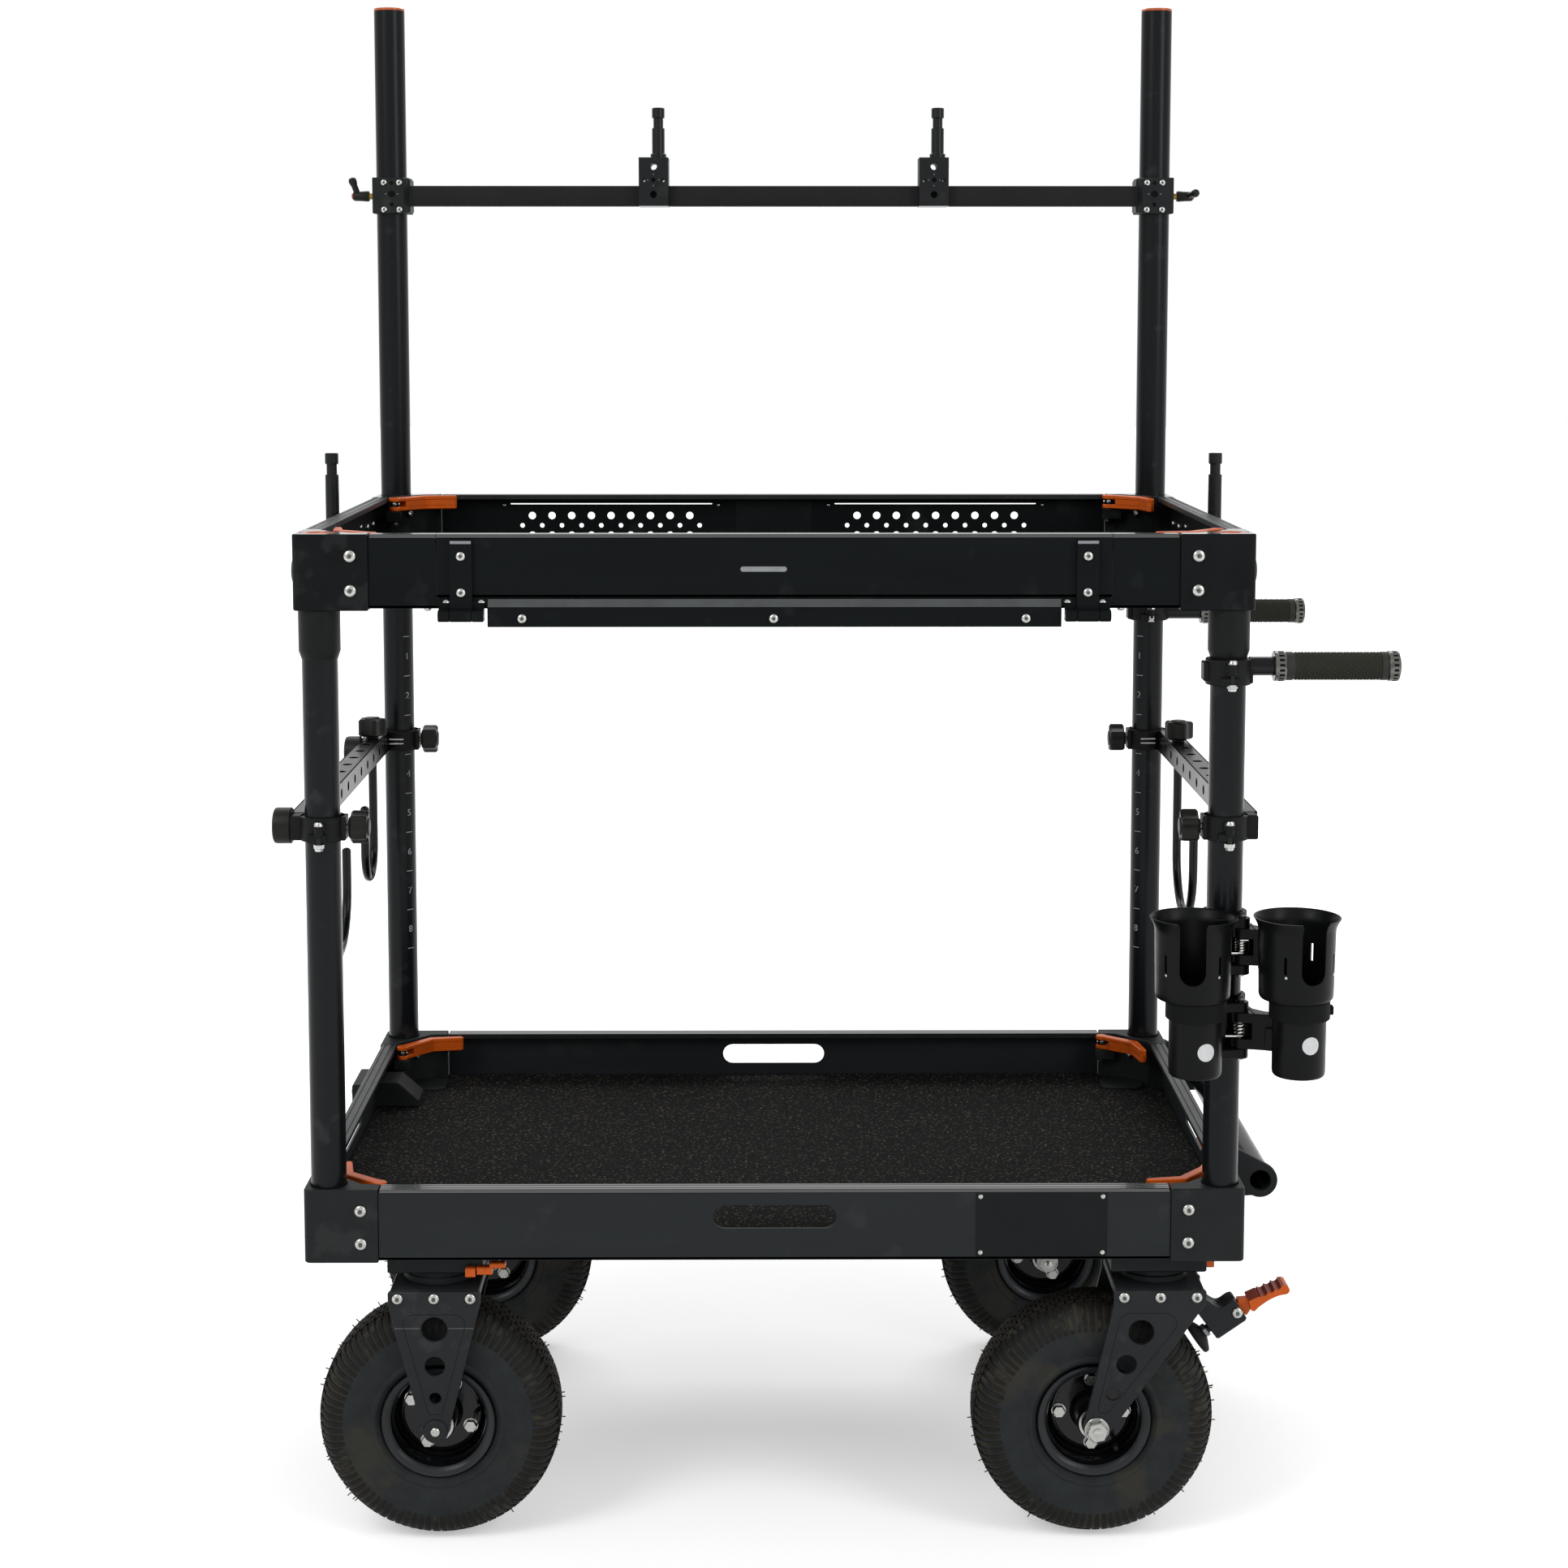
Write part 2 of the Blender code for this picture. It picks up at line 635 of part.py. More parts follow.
def handhole(shelf_z, axis, face):
    """Cutter for a hand-hole through the web of a rail whose outer face is at the given place."""
    outline = [(a, b + shelf_z + HANDHOLE_RISE) for a, b in capsule(HANDHOLE_LENGTH, HANDHOLE_HEIGHT)]
    return prism(outline, face - RAIL_WALL - WELD, face + RAIL_WALL + WELD, axis)


def socket_block():
    """Accessory block on the outside of the left rail of the bottom shelf."""
    face = -HALF_WIDTH + RAIL_RECESS + WELD_SMALL
    low = BOTTOM_SHELF_Z + SOCKET_LOW_RISE
    return box((face - SOCKET_DEPTH - WELD, SOCKET_FRONT_Y, low),
               (face, SOCKET_REAR_Y, low + SOCKET_HEIGHT))


def bumper_bar():
    """Tube on two teardrop plates that stand out from the right rail of the bottom shelf."""
    face = HALF_WIDTH - RAIL_RECESS - WELD_SMALL
    top = BOTTOM_SHELF_Z + SHELF_HEIGHT - RAIL_LIP
    low = BOTTOM_SHELF_Z + RAIL_LIP
    arc = [math.radians(60 - 120 * i / 6) for i in range(7)]
    outline = [(face, low), (face, top)]
    outline += [(BUMPER_X + BUMPER_PLATE_RADIUS * math.cos(t),
                 BUMPER_Z + BUMPER_PLATE_RADIUS * math.sin(t)) for t in arc]
    front = prism(outline, BUMPER_FRONT_Y, BUMPER_FRONT_Y + BUMPER_PLATE_THICKNESS, "Y")
    rear = prism(outline, BUMPER_REAR_Y - BUMPER_PLATE_THICKNESS, BUMPER_REAR_Y, "Y")
    centre = (BUMPER_X, 0.0, BUMPER_Z)
    start = BUMPER_FRONT_Y + WELD
    end = BUMPER_REAR_Y - WELD
    tube = rod(BUMPER_RADIUS, start, end, BEARING_SEGMENTS, "Y", centre)
    recess = BUMPER_PLATE_THICKNESS
    bores = [rod(BUMPER_BORE_RADIUS, BUMPER_FRONT_Y - WELD, BUMPER_FRONT_Y + recess, BEARING_SEGMENTS, "Y",
                 centre),
             rod(BUMPER_BORE_RADIUS, BUMPER_REAR_Y - recess, BUMPER_REAR_Y + WELD, BEARING_SEGMENTS, "Y",
                 centre)]
    return cut(join(front, rear, tube), *bores)


def side_receiver(side):
    """Block outside a top side rail with the side pin standing in it."""
    face = side * (HALF_WIDTH - RAIL_RECESS - WELD_SMALL)
    outer = side * (HALF_WIDTH - RAIL_RECESS + RECEIVER_DEPTH)
    low = TOP_SHELF_Z + RECEIVER_DROP
    high = low + RECEIVER_HEIGHT
    block = box((min(face, outer), -RECEIVER_HALF_WIDTH, low),
                (max(face, outer), RECEIVER_HALF_WIDTH, high))
    top = SIDE_PIN_TOP_Z
    neck_top = top - PIN_HEAD_HEIGHT
    neck_low = neck_top - PIN_NECK_HEIGHT
    profile = [(PIN_RADIUS, high - WELD), (PIN_RADIUS, neck_low), (PIN_NECK_RADIUS, neck_low),
               (PIN_NECK_RADIUS, neck_top), (PIN_RADIUS, neck_top), (PIN_RADIUS, top)]
    pin = turned(profile, PIN_SEGMENTS, centre=(side * (HALF_WIDTH + SIDE_PIN_OUTSET), 0.0, 0.0))
    return [block, pin]


def accessory_plates(side):
    """Flat plates bolted to the outside of a top side rail."""
    face = side * (HALF_WIDTH - RAIL_RECESS - WELD_SMALL)
    outer = side * (HALF_WIDTH - RAIL_RECESS + ACCESSORY_PLATE_THICKNESS)
    low = TOP_SHELF_Z + RECEIVER_DROP
    high = low + RECEIVER_HEIGHT
    return [box((min(face, outer), start, low), (max(face, outer), end, high))
            for start, end in ACCESSORY_PLATE_SPANS]


def deck_outline():
    """Outline of a deck that fits inside the rails and round the corner castings."""
    edge = RAIL_RECESS + RAIL_WALL + CLEARANCE
    thick = CORNER_THICKNESS + CLEARANCE
    web = CORNER_THICKNESS + CORNER_WEB + 2 * CLEARANCE
    arm_x = CORNER_ARM_X + CLEARANCE
    arm_y = CORNER_ARM_Y + CLEARANCE
    steps = [(arm_x, edge), (arm_x, thick), (web, thick), (thick, web), (thick, arm_y), (edge, arm_y)]
    outline = []
    for side_x, side_y in ((-1, -1), (1, -1), (1, 1), (-1, 1)):
        turn = steps if side_x * side_y < 0 else steps[::-1]
        outline += [corner_point(side_x, side_y, a, b) for a, b in turn]
    return outline


def gusset():
    """Sloped block inside the left rail of the bottom shelf, clear of the deck."""
    low = BOTTOM_SHELF_Z + DECK_RISE + BOTTOM_DECK_THICKNESS + CLEARANCE
    back = -HALF_WIDTH + RAIL_RECESS + WELD_SMALL
    outline = [(back, low), (back + GUSSET_LENGTH, low), (back + GUSSET_LENGTH, low + GUSSET_NOSE),
               (back + GUSSET_FLAT, low + GUSSET_HEIGHT), (back, low + GUSSET_HEIGHT)]
    return prism(outline, GUSSET_SPAN[0], GUSSET_SPAN[1], "Y")


def build_bottom_shelf():
    face_y = HALF_DEPTH - RAIL_RECESS
    face_x = HALF_WIDTH - RAIL_RECESS
    z = BOTTOM_SHELF_Z
    for side, name in ((-1, "bottom_front_rail"), (1, "bottom_rear_rail")):
        rail = cut(cross_rail(side, z), handhole(z, "Y", side * face_y))
        piece(rail, name, "rail_black")
    left = side_frame(-1, z, False, [socket_block(), gusset()])
    piece(cut(left, handhole(z, "X", -face_x)), "bottom_left_frame", "casting_black")
    right = side_frame(1, z, False, [bumper_bar()])
    piece(cut(right, handhole(z, "X", face_x)), "bottom_right_frame", "casting_black")
    low = z + DECK_RISE
    piece(prism(deck_outline(), low, low + BOTTOM_DECK_THICKNESS), "bottom_deck", "felt_black")


def pierced_holes():
    """Cutters for the rows of round holes through the rear rail of the top shelf."""
    face = HALF_DEPTH - RAIL_RECESS
    low = face - RAIL_WALL - WELD
    high = face + WELD
    middle = TOP_SHELF_Z + PIERCE_MIDDLE_RISE
    cutters = []
    for side in (-1, 1):
        for column in range(PIERCE_COLUMNS):
            x = side * (PIERCE_START_X + column * PIERCE_PITCH)
            for z in (middle - PIERCE_ROW_STEP, middle + PIERCE_ROW_STEP):
                cutters.append(rod(PIERCE_LARGE_RADIUS, low, high, 6, "Y", (x, 0.0, z)))
        for column in range(PIERCE_COLUMNS + 1):
            x = side * (PIERCE_START_X + (column - 0.5) * PIERCE_PITCH)
            cutters.append(rod(PIERCE_SMALL_RADIUS, low, high, 4, "Y", (x, 0.0, middle)))
    return cutters


def top_front_rail():
    """Front rail cut down to a sill under the gate, with the sill angle and fixed hinge knuckles."""
    face = -HALF_DEPTH + RAIL_RECESS
    rail = cross_rail(-1, TOP_SHELF_Z)
    half = GATE_HALF_WIDTH + CLEARANCE
    sill = TOP_SHELF_Z + SILL_RISE
    gap = box((-half, face - WELD, sill),
              (half, face + RAIL_FLANGE + WELD, TOP_SHELF_Z + SHELF_HEIGHT + WELD))
    rail = cut(rail, gap)
    low = TOP_SHELF_Z - SILL_ANGLE_DROP
    front = face - SILL_ANGLE_WALL
    angle = [(face + WELD_SMALL, low), (front, low), (front, sill - WELD - RAIL_WALL),
             (face - WELD_SMALL, sill - WELD_SMALL), (face + WELD_SMALL, sill - WELD_SMALL)]
    half_angle = SILL_ANGLE_HALF_WIDTH
    parts = [prism(angle, -half_angle, half_angle, "X")]
    leaf_half = HINGE_STRAP_WIDTH / 2 + CLEARANCE + HINGE_KNUCKLE_WIDTH
    behind = HINGE_Y + HINGE_KNUCKLE_RADIUS + CLEARANCE
    for side in (-1, 1):
        middle = side * HINGE_X
        leaf_low = HINGE_Z - HINGE_KNUCKLE_RADIUS
        parts.append(box((middle - leaf_half, behind, leaf_low),
                         (middle + leaf_half, face + WELD_SMALL, sill - WELD)))
        for end in (-1, 1):
            near = middle + end * (HINGE_STRAP_WIDTH / 2 + CLEARANCE)
            far = near + end * HINGE_KNUCKLE_WIDTH
            centre = (0.0, HINGE_Y, HINGE_Z)
            low_x = min(near, far)
            high_x = max(near, far)
            parts.append(rod(HINGE_KNUCKLE_RADIUS, low_x, high_x, 12, "X", centre))
            parts.append(box((low_x, HINGE_Y, HINGE_Z - HINGE_PIN_RADIUS),
                             (high_x, behind + WELD_SMALL, HINGE_Z + HINGE_PIN_RADIUS)))
        reach = leaf_half - WELD
        parts.append(rod(HINGE_PIN_RADIUS, middle - reach, middle + reach, SMALL_SEGMENTS, "X",
                         (0.0, HINGE_Y, HINGE_Z)))
    return join(rail, *parts)


def front_gate():
    """Gate panel with its two hinge straps, hung on the pins of the sill."""
    face = -HALF_DEPTH + RAIL_RECESS
    low = TOP_SHELF_Z + SILL_RISE + 2 * CLEARANCE
    height = TOP_SHELF_Z + SHELF_HEIGHT - low
    outline = [(face + inward, low + up) for inward, up in rail_section(height)]
    panel = prism(outline, -GATE_HALF_WIDTH, GATE_HALF_WIDTH, "X")
    half = HINGE_STRAP_WIDTH / 2
    back = HINGE_Y + HINGE_KNUCKLE_RADIUS
    front = back - STRAP_THICKNESS
    parts = []
    bores = []
    for side in (-1, 1):
        left = side * HINGE_X - half
        right = side * HINGE_X + half
        parts.append(box((left, front, low), (right, face + WELD_SMALL, TOP_SHELF_Z + STRAP_HEIGHT)))
        parts.append(box((left, front, HINGE_Z - WELD_SMALL), (right, back, low + WELD)))
        parts.append(rod(HINGE_KNUCKLE_RADIUS, left, right, 12, "X", (0.0, HINGE_Y, HINGE_Z)))
        bores.append(rod(HINGE_PIN_RADIUS + CLEARANCE, left - WELD, right + WELD, SMALL_SEGMENTS, "X",
                         (0.0, HINGE_Y, HINGE_Z)))
    return cut(join(panel, *parts), *bores)


def build_top_shelf():
    z = TOP_SHELF_Z
    piece(top_front_rail(), "top_front_rail", "rail_black")
    piece(cut(cross_rail(1, z), *pierced_holes()), "top_rear_rail", "rail_black")
    for side, name in ((-1, "top_left_frame"), (1, "top_right_frame")):
        extras = side_receiver(side) + accessory_plates(side)
        piece(side_frame(side, z, True, extras), name, "casting_black")
    low = z + DECK_RISE
    piece(prism(deck_outline(), low, low + TOP_DECK_THICKNESS), "top_deck", "deck_black")
    piece(front_gate(), "front_gate", "rail_black", (0.0, HINGE_Y, HINGE_Z))


def latch_lever():
    """Bent lever that lies along the casting's web and then along the rail."""
    half = LATCH_HALF_WIDTH
    bend = Vector(LATCH_BEND)
    tip = Vector(LATCH_TIP)
    first = bend.normalized()
    second = (tip - bend).normalized()
    first_side = Vector((-first.y, first.x))
    second_side = Vector((-second.y, second.x))
    elbow = (first_side + second_side).normalized()
    heading = math.atan2(first.y, first.x)
    outline = []
    for i in range(7):
        turn = heading + math.radians(55 + 250 * i / 6)
        outline.append(LATCH_EYE_RADIUS * Vector((math.cos(turn), math.sin(turn))))
    outline += [bend - elbow * half, tip - second_side * half * 0.8, tip + second * half * 0.4,
                tip + second_side * half * 0.8, bend + elbow * half]
    height = LATCH_HEIGHT
    lever = prism([(p.x, -p.y) for p in outline], -height, 0.0)
    bore = rod(LATCH_PIN_RADIUS + CLEARANCE * 1.5, -height - WELD, WELD, SMALL_SEGMENTS)
    return cut(lever, bore)


def build_latches():
    first = None
    for level, shelf_z in (("bottom", BOTTOM_SHELF_Z), ("top", TOP_SHELF_Z)):
        corners = (("rear_left", -1, 1, 0), ("rear_right", 1, 1, -90),
                   ("front_right", 1, -1, 180), ("front_left", -1, -1, 90))
        for corner, side_x, side_y, turn in corners:
            x, y = latch_place(side_x, side_y, LATCH_INSET, LATCH_REACH)
            place = (x, y, shelf_z + SHELF_HEIGHT)
            name = "latch_" + level + "_" + corner
            if first is None:
                first = piece(latch_lever(), name, "lever_orange")
                first.location = place
            else:
                copy_of(first, name, place, math.radians(turn))


def build_posts():
    low = BOTTOM_SHELF_Z + SOCKET_FLOOR + CLEARANCE
    collar_top = TOP_SHELF_Z - CLEARANCE
    collar_low = collar_top - COLLAR_LENGTH
    short_top = TOP_SHELF_Z + SHELF_HEIGHT
    inside = TUBE_RADIUS - TUBE_WALL
    front = [(TUBE_RADIUS, low), (TUBE_RADIUS, collar_low - COLLAR_TAPER), (COLLAR_RADIUS, collar_low),
             (COLLAR_RADIUS, collar_top), (TUBE_RADIUS, collar_top), (TUBE_RADIUS, short_top)]
    rear = [(TUBE_RADIUS, low), (TUBE_RADIUS, MAST_TOP_Z)]
    for name, side, place_y, profile in (("front_left_post", -1, -POST_Y, front),
                                         ("front_right_post", 1, -POST_Y, front),
                                         ("rear_left_mast", -1, POST_Y, rear),
                                         ("rear_right_mast", 1, POST_Y, rear)):
        centre = (side * POST_X, place_y, 0.0)
        tube = turned(profile, TUBE_SEGMENTS, centre=centre)
        top = profile[-1][1] - TUBE_WALL
        tube = cut(tube, rod(inside, low - WELD, top, TUBE_SEGMENTS, centre=centre))
        piece(tube, name, "tube_black", (side * POST_X, place_y, low))


def rim_profile():
    lip = RIM_HALF_WIDTH - RIM_WALL
    well = RIM_WELL_RADIUS - RIM_WALL
    disc = -RIM_DISC_OFFSET - RIM_DISC_THICKNESS / 2
    bore = AXLE_RADIUS + CLEARANCE
    return [(bore, -HUB_HALF_LENGTH), (HUB_RADIUS, -HUB_HALF_LENGTH), (HUB_RADIUS, disc),
            (well, disc), (well, -lip - WELD_SMALL), (RIM_RADIUS, -RIM_HALF_WIDTH),
            (RIM_RADIUS, -lip), (RIM_WELL_RADIUS, -lip + RIM_WALL - WELD_SMALL),
            (RIM_WELL_RADIUS, lip - RIM_WALL + WELD_SMALL), (RIM_RADIUS, lip),
            (RIM_RADIUS, RIM_HALF_WIDTH), (well, lip + WELD_SMALL),
            (well, disc + RIM_DISC_THICKNESS), (HUB_RADIUS, disc + RIM_DISC_THICKNESS),
            (HUB_RADIUS, HUB_HALF_LENGTH), (bore, HUB_HALF_LENGTH)]


def tyre_profile():
    """Hollow tyre section: beads on the rim, bulging walls and a crowned tread."""
    bead = RIM_WELL_RADIUS + 1.5 * CLEARANCE
    lip = RIM_HALF_WIDTH - RIM_WALL
    seat = lip - RIM_WALL
    outer = [(bead, seat), (RIM_RADIUS + 1.5 * CLEARANCE, lip - 2 * CLEARANCE),
             (RIM_RADIUS + RIM_WALL, RIM_HALF_WIDTH + RIM_WALL * 0.75),
             (WHEEL_RADIUS - 0.028, TYRE_HALF_WIDTH), (WHEEL_RADIUS - 0.009, TYRE_HALF_WIDTH * 0.85),
             (WHEEL_RADIUS, TYRE_HALF_WIDTH * 0.35)]
    inner = [(bead, seat - TYRE_WALL), (WHEEL_RADIUS - 0.033, TYRE_HALF_WIDTH - TYRE_WALL)]
    under = [(WHEEL_RADIUS - TYRE_WALL, 0.0)]
    right = outer + [(r, -h) for r, h in outer[::-1]]
    left = [(r, -h) for r, h in inner] + under + inner[::-1]
    return right + left


def wheel_places():
    """Names and centres of the four wheels, and which way their outer side faces."""
    swivel_axle_x = SWIVEL_CASTER_X - SWIVEL_TRAIL
    return (("front_left", RIGID_CASTER_X, -WHEEL_PLANE_Y, 0.0),
            ("rear_left", RIGID_CASTER_X, WHEEL_PLANE_Y, math.pi),
            ("front_right", swivel_axle_x, -WHEEL_PLANE_Y, 0.0),
            ("rear_right", swivel_axle_x, WHEEL_PLANE_Y, math.pi))


def build_wheels():
    tyre = None
    rim = None
    for corner, x, y, turn in wheel_places():
        place = (x, y, AXLE_Z)
        if tyre is None:
            tyre = piece(turned(tyre_profile(), WHEEL_SEGMENTS, "Y", ring=True), "tyre_" + corner,
                         "tyre_rubber")
            rim = piece(turned(rim_profile(), WHEEL_SEGMENTS, "Y", ring=True), "rim_" + corner,
                        "rim_black")
            tyre.location = place
            rim.location = place
        else:
            copy_of(tyre, "tyre_" + corner, place, turn)
            copy_of(rim, "rim_" + corner, place, turn)


def tangent_turns(point, centre, radius):
    """Directions from a circle's centre to the two points where lines from the point touch it."""
    offset = Vector(point) - Vector(centre)
    aim = math.atan2(offset.y, offset.x)
    spread = math.acos(radius / offset.length)
    return aim - spread, aim + spread


def fork_outline(middle, axle):
    """Side plate as (X, Z) points: straight top, tapering to a round end at the axle."""
    centre = (axle, AXLE_Z)
    shoulder = FORK_TOP_Z - FORK_STRAIGHT
    left = middle - FORK_HALF_LENGTH
    right = middle + FORK_HALF_LENGTH
    start = tangent_turns((right, shoulder), centre, FORK_END_RADIUS)[0]
    end = tangent_turns((left, shoulder), centre, FORK_END_RADIUS)[1] - 2 * math.pi
    turns = [start + (end - start) * i / 6 for i in range(7)]
    arc = [(axle + FORK_END_RADIUS * math.cos(t), AXLE_Z + FORK_END_RADIUS * math.sin(t)) for t in turns]
    return [(left, FORK_TOP_Z), (right, FORK_TOP_Z), (right, shoulder)] + arc + [(left, shoulder)]


def fork_body(middle, axle):
    """Two side plates, the crown across them and the axle bolt, about the wheel's plane."""
    outline = fork_outline(middle, axle)
    near = prism(outline, -FORK_HALF_WIDTH, -FORK_INNER, "Y")
    far = prism(outline, FORK_INNER, FORK_HALF_WIDTH, "Y")
    crown = box((middle - FORK_HALF_LENGTH + WELD, -FORK_HALF_WIDTH + WELD, FORK_TOP_Z - FORK_CROWN),
                (middle + FORK_HALF_LENGTH - WELD, FORK_HALF_WIDTH - WELD, FORK_TOP_Z - CLEARANCE))
    fork = join(crown, near, far)
    cutters = []
    for radius, place in zip(FORK_HOLE_RADII, FORK_HOLE_PLACES):
        x = axle + (middle - axle) * place
        z = AXLE_Z + (FORK_TOP_Z - AXLE_Z) * place
        cutters.append(rod(radius, -FORK_HALF_WIDTH - WELD, FORK_HALF_WIDTH + WELD, 10, "Y", (x, 0.0, z)))
    fork = cut(fork, *cutters)
    centre = (axle, 0.0, AXLE_Z)
    spacer = HUB_HALF_LENGTH + CLEARANCE
    spacer_radius = FORK_END_RADIUS - WELD_SMALL
    nut_radius = AXLE_NUT_ACROSS_FLATS / 2 / math.cos(math.pi / 6)
    nut_end = FORK_HALF_WIDTH + AXLE_NUT_THICKNESS
    nut_start = FORK_HALF_WIDTH - WELD_SMALL
    axle_parts = [rod(AXLE_RADIUS, -nut_start, nut_start, SMALL_SEGMENTS, "Y", centre)]
    for side in (-1, 1):
        inner = sorted((side * spacer, side * (FORK_INNER + WELD_SMALL)))
        outer = sorted((side * nut_start, side * nut_end))
        axle_parts.append(rod(spacer_radius, inner[0], inner[1], 12, "Y", centre))
        axle_parts.append(rod(nut_radius, outer[0], outer[1], 6, "Y", centre))
    return join(fork, *axle_parts)


def caster_plate():
    """Plate under the shelf, with the upper race of the bearing and the boss against the deck."""
    plate = box((-CASTER_PLATE_HALF_LENGTH, -CASTER_PLATE_HALF_WIDTH, CASTER_PLATE_Z),
                (CASTER_PLATE_HALF_LENGTH, CASTER_PLATE_HALF_WIDTH, BOTTOM_SHELF_Z - CLEARANCE))
    boss_top = BOTTOM_SHELF_Z + DECK_RISE - CLEARANCE
    return plate, rod(CASTER_RACE_RADIUS, RACE_SPLIT_Z, boss_top, BEARING_SEGMENTS)


def brake_direction():
    """Way the pad's stem slides, square to the block's lower left face."""
    return Vector((-0.285, 0.0, -0.209)).normalized()


def brake_seat():
    """Where the stem leaves the block, from the swivel axis."""
    return Vector((BRAKE_PIVOT_X - 0.02794, 0.0, BRAKE_PIVOT_Z - 0.02175))


def brake_block():
    """Block on the fork that carries the brake lever and guides the pad's stem."""
    x = BRAKE_PIVOT_X
    z = BRAKE_PIVOT_Z
    outline = [(FORK_HALF_LENGTH - 0.008, FORK_TOP_Z - WELD), (FORK_HALF_LENGTH - WELD, FORK_TOP_Z - WELD),
               (x - 0.0415, z + 0.0185), (x - 0.0349, z + 0.0156), (x - 0.0274, z + 0.0095),
               (x - 0.0199, z + 0.0058), (x - 0.0138, z + 0.0081), (x - 0.0084, z + 0.0122),
               (x - 0.0023, z + 0.0136), (x + 0.0102, z - 0.0062), (x + 0.0095, z - 0.009),
               (x - 0.0193, z - 0.0292), (x - 0.0235, z - 0.0278), (x - 0.0444, z + 0.0007)]
    half = BRAKE_WIDTH / 2
    block = prism(outline, -half, half, "Y")
    slot = box((x - BRAKE_EYE_RADIUS - 0.0015, -BRAKE_SLOT / 2, z - 0.04),
               (x + 0.03, BRAKE_SLOT / 2, z + 0.04))
    bore = swept([brake_seat() + brake_direction() * WELD * 2,
                  brake_seat() - brake_direction() * (BRAKE_STEM_LENGTH - 0.002)],
                 BRAKE_STEM_RADIUS + 2 * CLEARANCE, 12)
    return cut(block, slot, bore)


def brake_lever():
    """Foot lever: an eye in the block's slot and a wide ribbed pedal, about its pivot."""
    half_slot = BRAKE_SLOT / 2 - CLEARANCE
    aim = BRAKE_LEVER_RISE
    heading = Vector((math.cos(aim), math.sin(aim)))
    side = Vector((-heading.y, heading.x))
    eye = BRAKE_EYE_RADIUS
    reach = BRAKE_LEVER_LENGTH
    turns = [aim + math.radians(50 + 260 * i / 8) for i in range(9)]
    outline = [eye * Vector((math.cos(t), math.sin(t))) for t in turns]
    neck = ((0.132, -0.011), (0.265, -0.0056), (0.347, -0.0045), (0.347, 0.005), (0.276, 0.0054),
            (0.103, 0.0095))
    outline += [heading * reach * share + side * rise for share, rise in neck]
    arm = prism([tuple(p) for p in outline], -half_slot, half_slot, "Y")
    half_pedal = BRAKE_LEVER_WIDTH / 2
    edge = ((0.241, -0.005), (0.287, -0.0069), (0.519, -0.0027), (0.715, -0.0017), (0.91, -0.004),
            (0.962, -0.0035), (1.0, -0.0005), (0.994, 0.0042), (0.954, 0.0064), (0.266, 0.0064))
    pedal = prism([tuple(heading * reach * share + side * rise) for share, rise in edge],
                  -half_pedal, half_pedal, "Y")
    lever = join(arm, pedal)
    return cut(lever, rod(BRAKE_PIN_RADIUS + 1.5 * CLEARANCE, -half_slot - WELD, half_slot + WELD,
                          SMALL_SEGMENTS, "Y"))


def brake_pad():
    """Pad disc and stem, about the place where the stem leaves the block."""
    way = brake_direction()
    stem = swept([-way * (BRAKE_STEM_LENGTH - 0.004), way * BRAKE_PAD_STAND_OFF], BRAKE_STEM_RADIUS, 10)
    disc = swept([way * (BRAKE_PAD_STAND_OFF - WELD), way * (BRAKE_PAD_STAND_OFF + BRAKE_PAD_THICKNESS)],
                 BRAKE_PAD_RADIUS, 16)
    return join(stem, disc)


def build_casters():
    for corner, y in (("front_left", -WHEEL_PLANE_Y), ("rear_left", WHEEL_PLANE_Y)):
        plate, race = caster_plate()
        lower = rod(CASTER_RACE_RADIUS - WELD_SMALL, FORK_TOP_Z - WELD, RACE_SPLIT_Z + WELD,
                    BEARING_SEGMENTS)
        fork = join(fork_body(0.0, 0.0), plate, race, lower)
        obj = piece(fork, "fork_" + corner, "fork_grey")
        obj.location = (RIGID_CASTER_X, y, 0.0)
    for corner, y in (("front_right", -WHEEL_PLANE_Y), ("rear_right", WHEEL_PLANE_Y)):
        swivel = (SWIVEL_CASTER_X, y, 0.0)
        lower = rod(CASTER_RACE_RADIUS, FORK_TOP_Z - WELD, RACE_SPLIT_Z - CLEARANCE, BEARING_SEGMENTS)
        pivot_pin = rod(BRAKE_PIN_RADIUS, -BRAKE_WIDTH / 2 + WELD, BRAKE_WIDTH / 2 - WELD,
                        SMALL_SEGMENTS, "Y", (BRAKE_PIVOT_X, 0.0, BRAKE_PIVOT_Z))
        fork = join(fork_body(0.0, -SWIVEL_TRAIL), lower, brake_block(), pivot_pin)
        bore = rod(KINGPIN_RADIUS + CLEARANCE, FORK_TOP_Z - FORK_CROWN - WELD, RACE_SPLIT_Z + WELD,
                   BEARING_SEGMENTS)
        obj = piece(cut(fork, bore), "fork_" + corner, "fork_grey")
        obj.location = swivel
        plate, race = caster_plate()
        nut_top = FORK_TOP_Z - FORK_CROWN - CLEARANCE
        nut_low = nut_top - KINGPIN_NUT_HEIGHT
        kingpin = rod(KINGPIN_RADIUS, nut_low + WELD, CASTER_PLATE_Z + WELD, BEARING_SEGMENTS)
        nut = rod(KINGPIN_NUT_RADIUS, nut_low, nut_top, 6)
        obj = piece(join(plate, race, kingpin, nut), "caster_plate_" + corner, "casting_black")
        obj.location = swivel
        obj = piece(brake_lever(), "brake_lever_" + corner, "lever_orange")
        obj.location = (SWIVEL_CASTER_X + BRAKE_PIVOT_X, y, BRAKE_PIVOT_Z)
        obj = piece(brake_pad(), "brake_pad_" + corner, "pad_rubber")
        obj.location = brake_seat() + Vector(swivel)


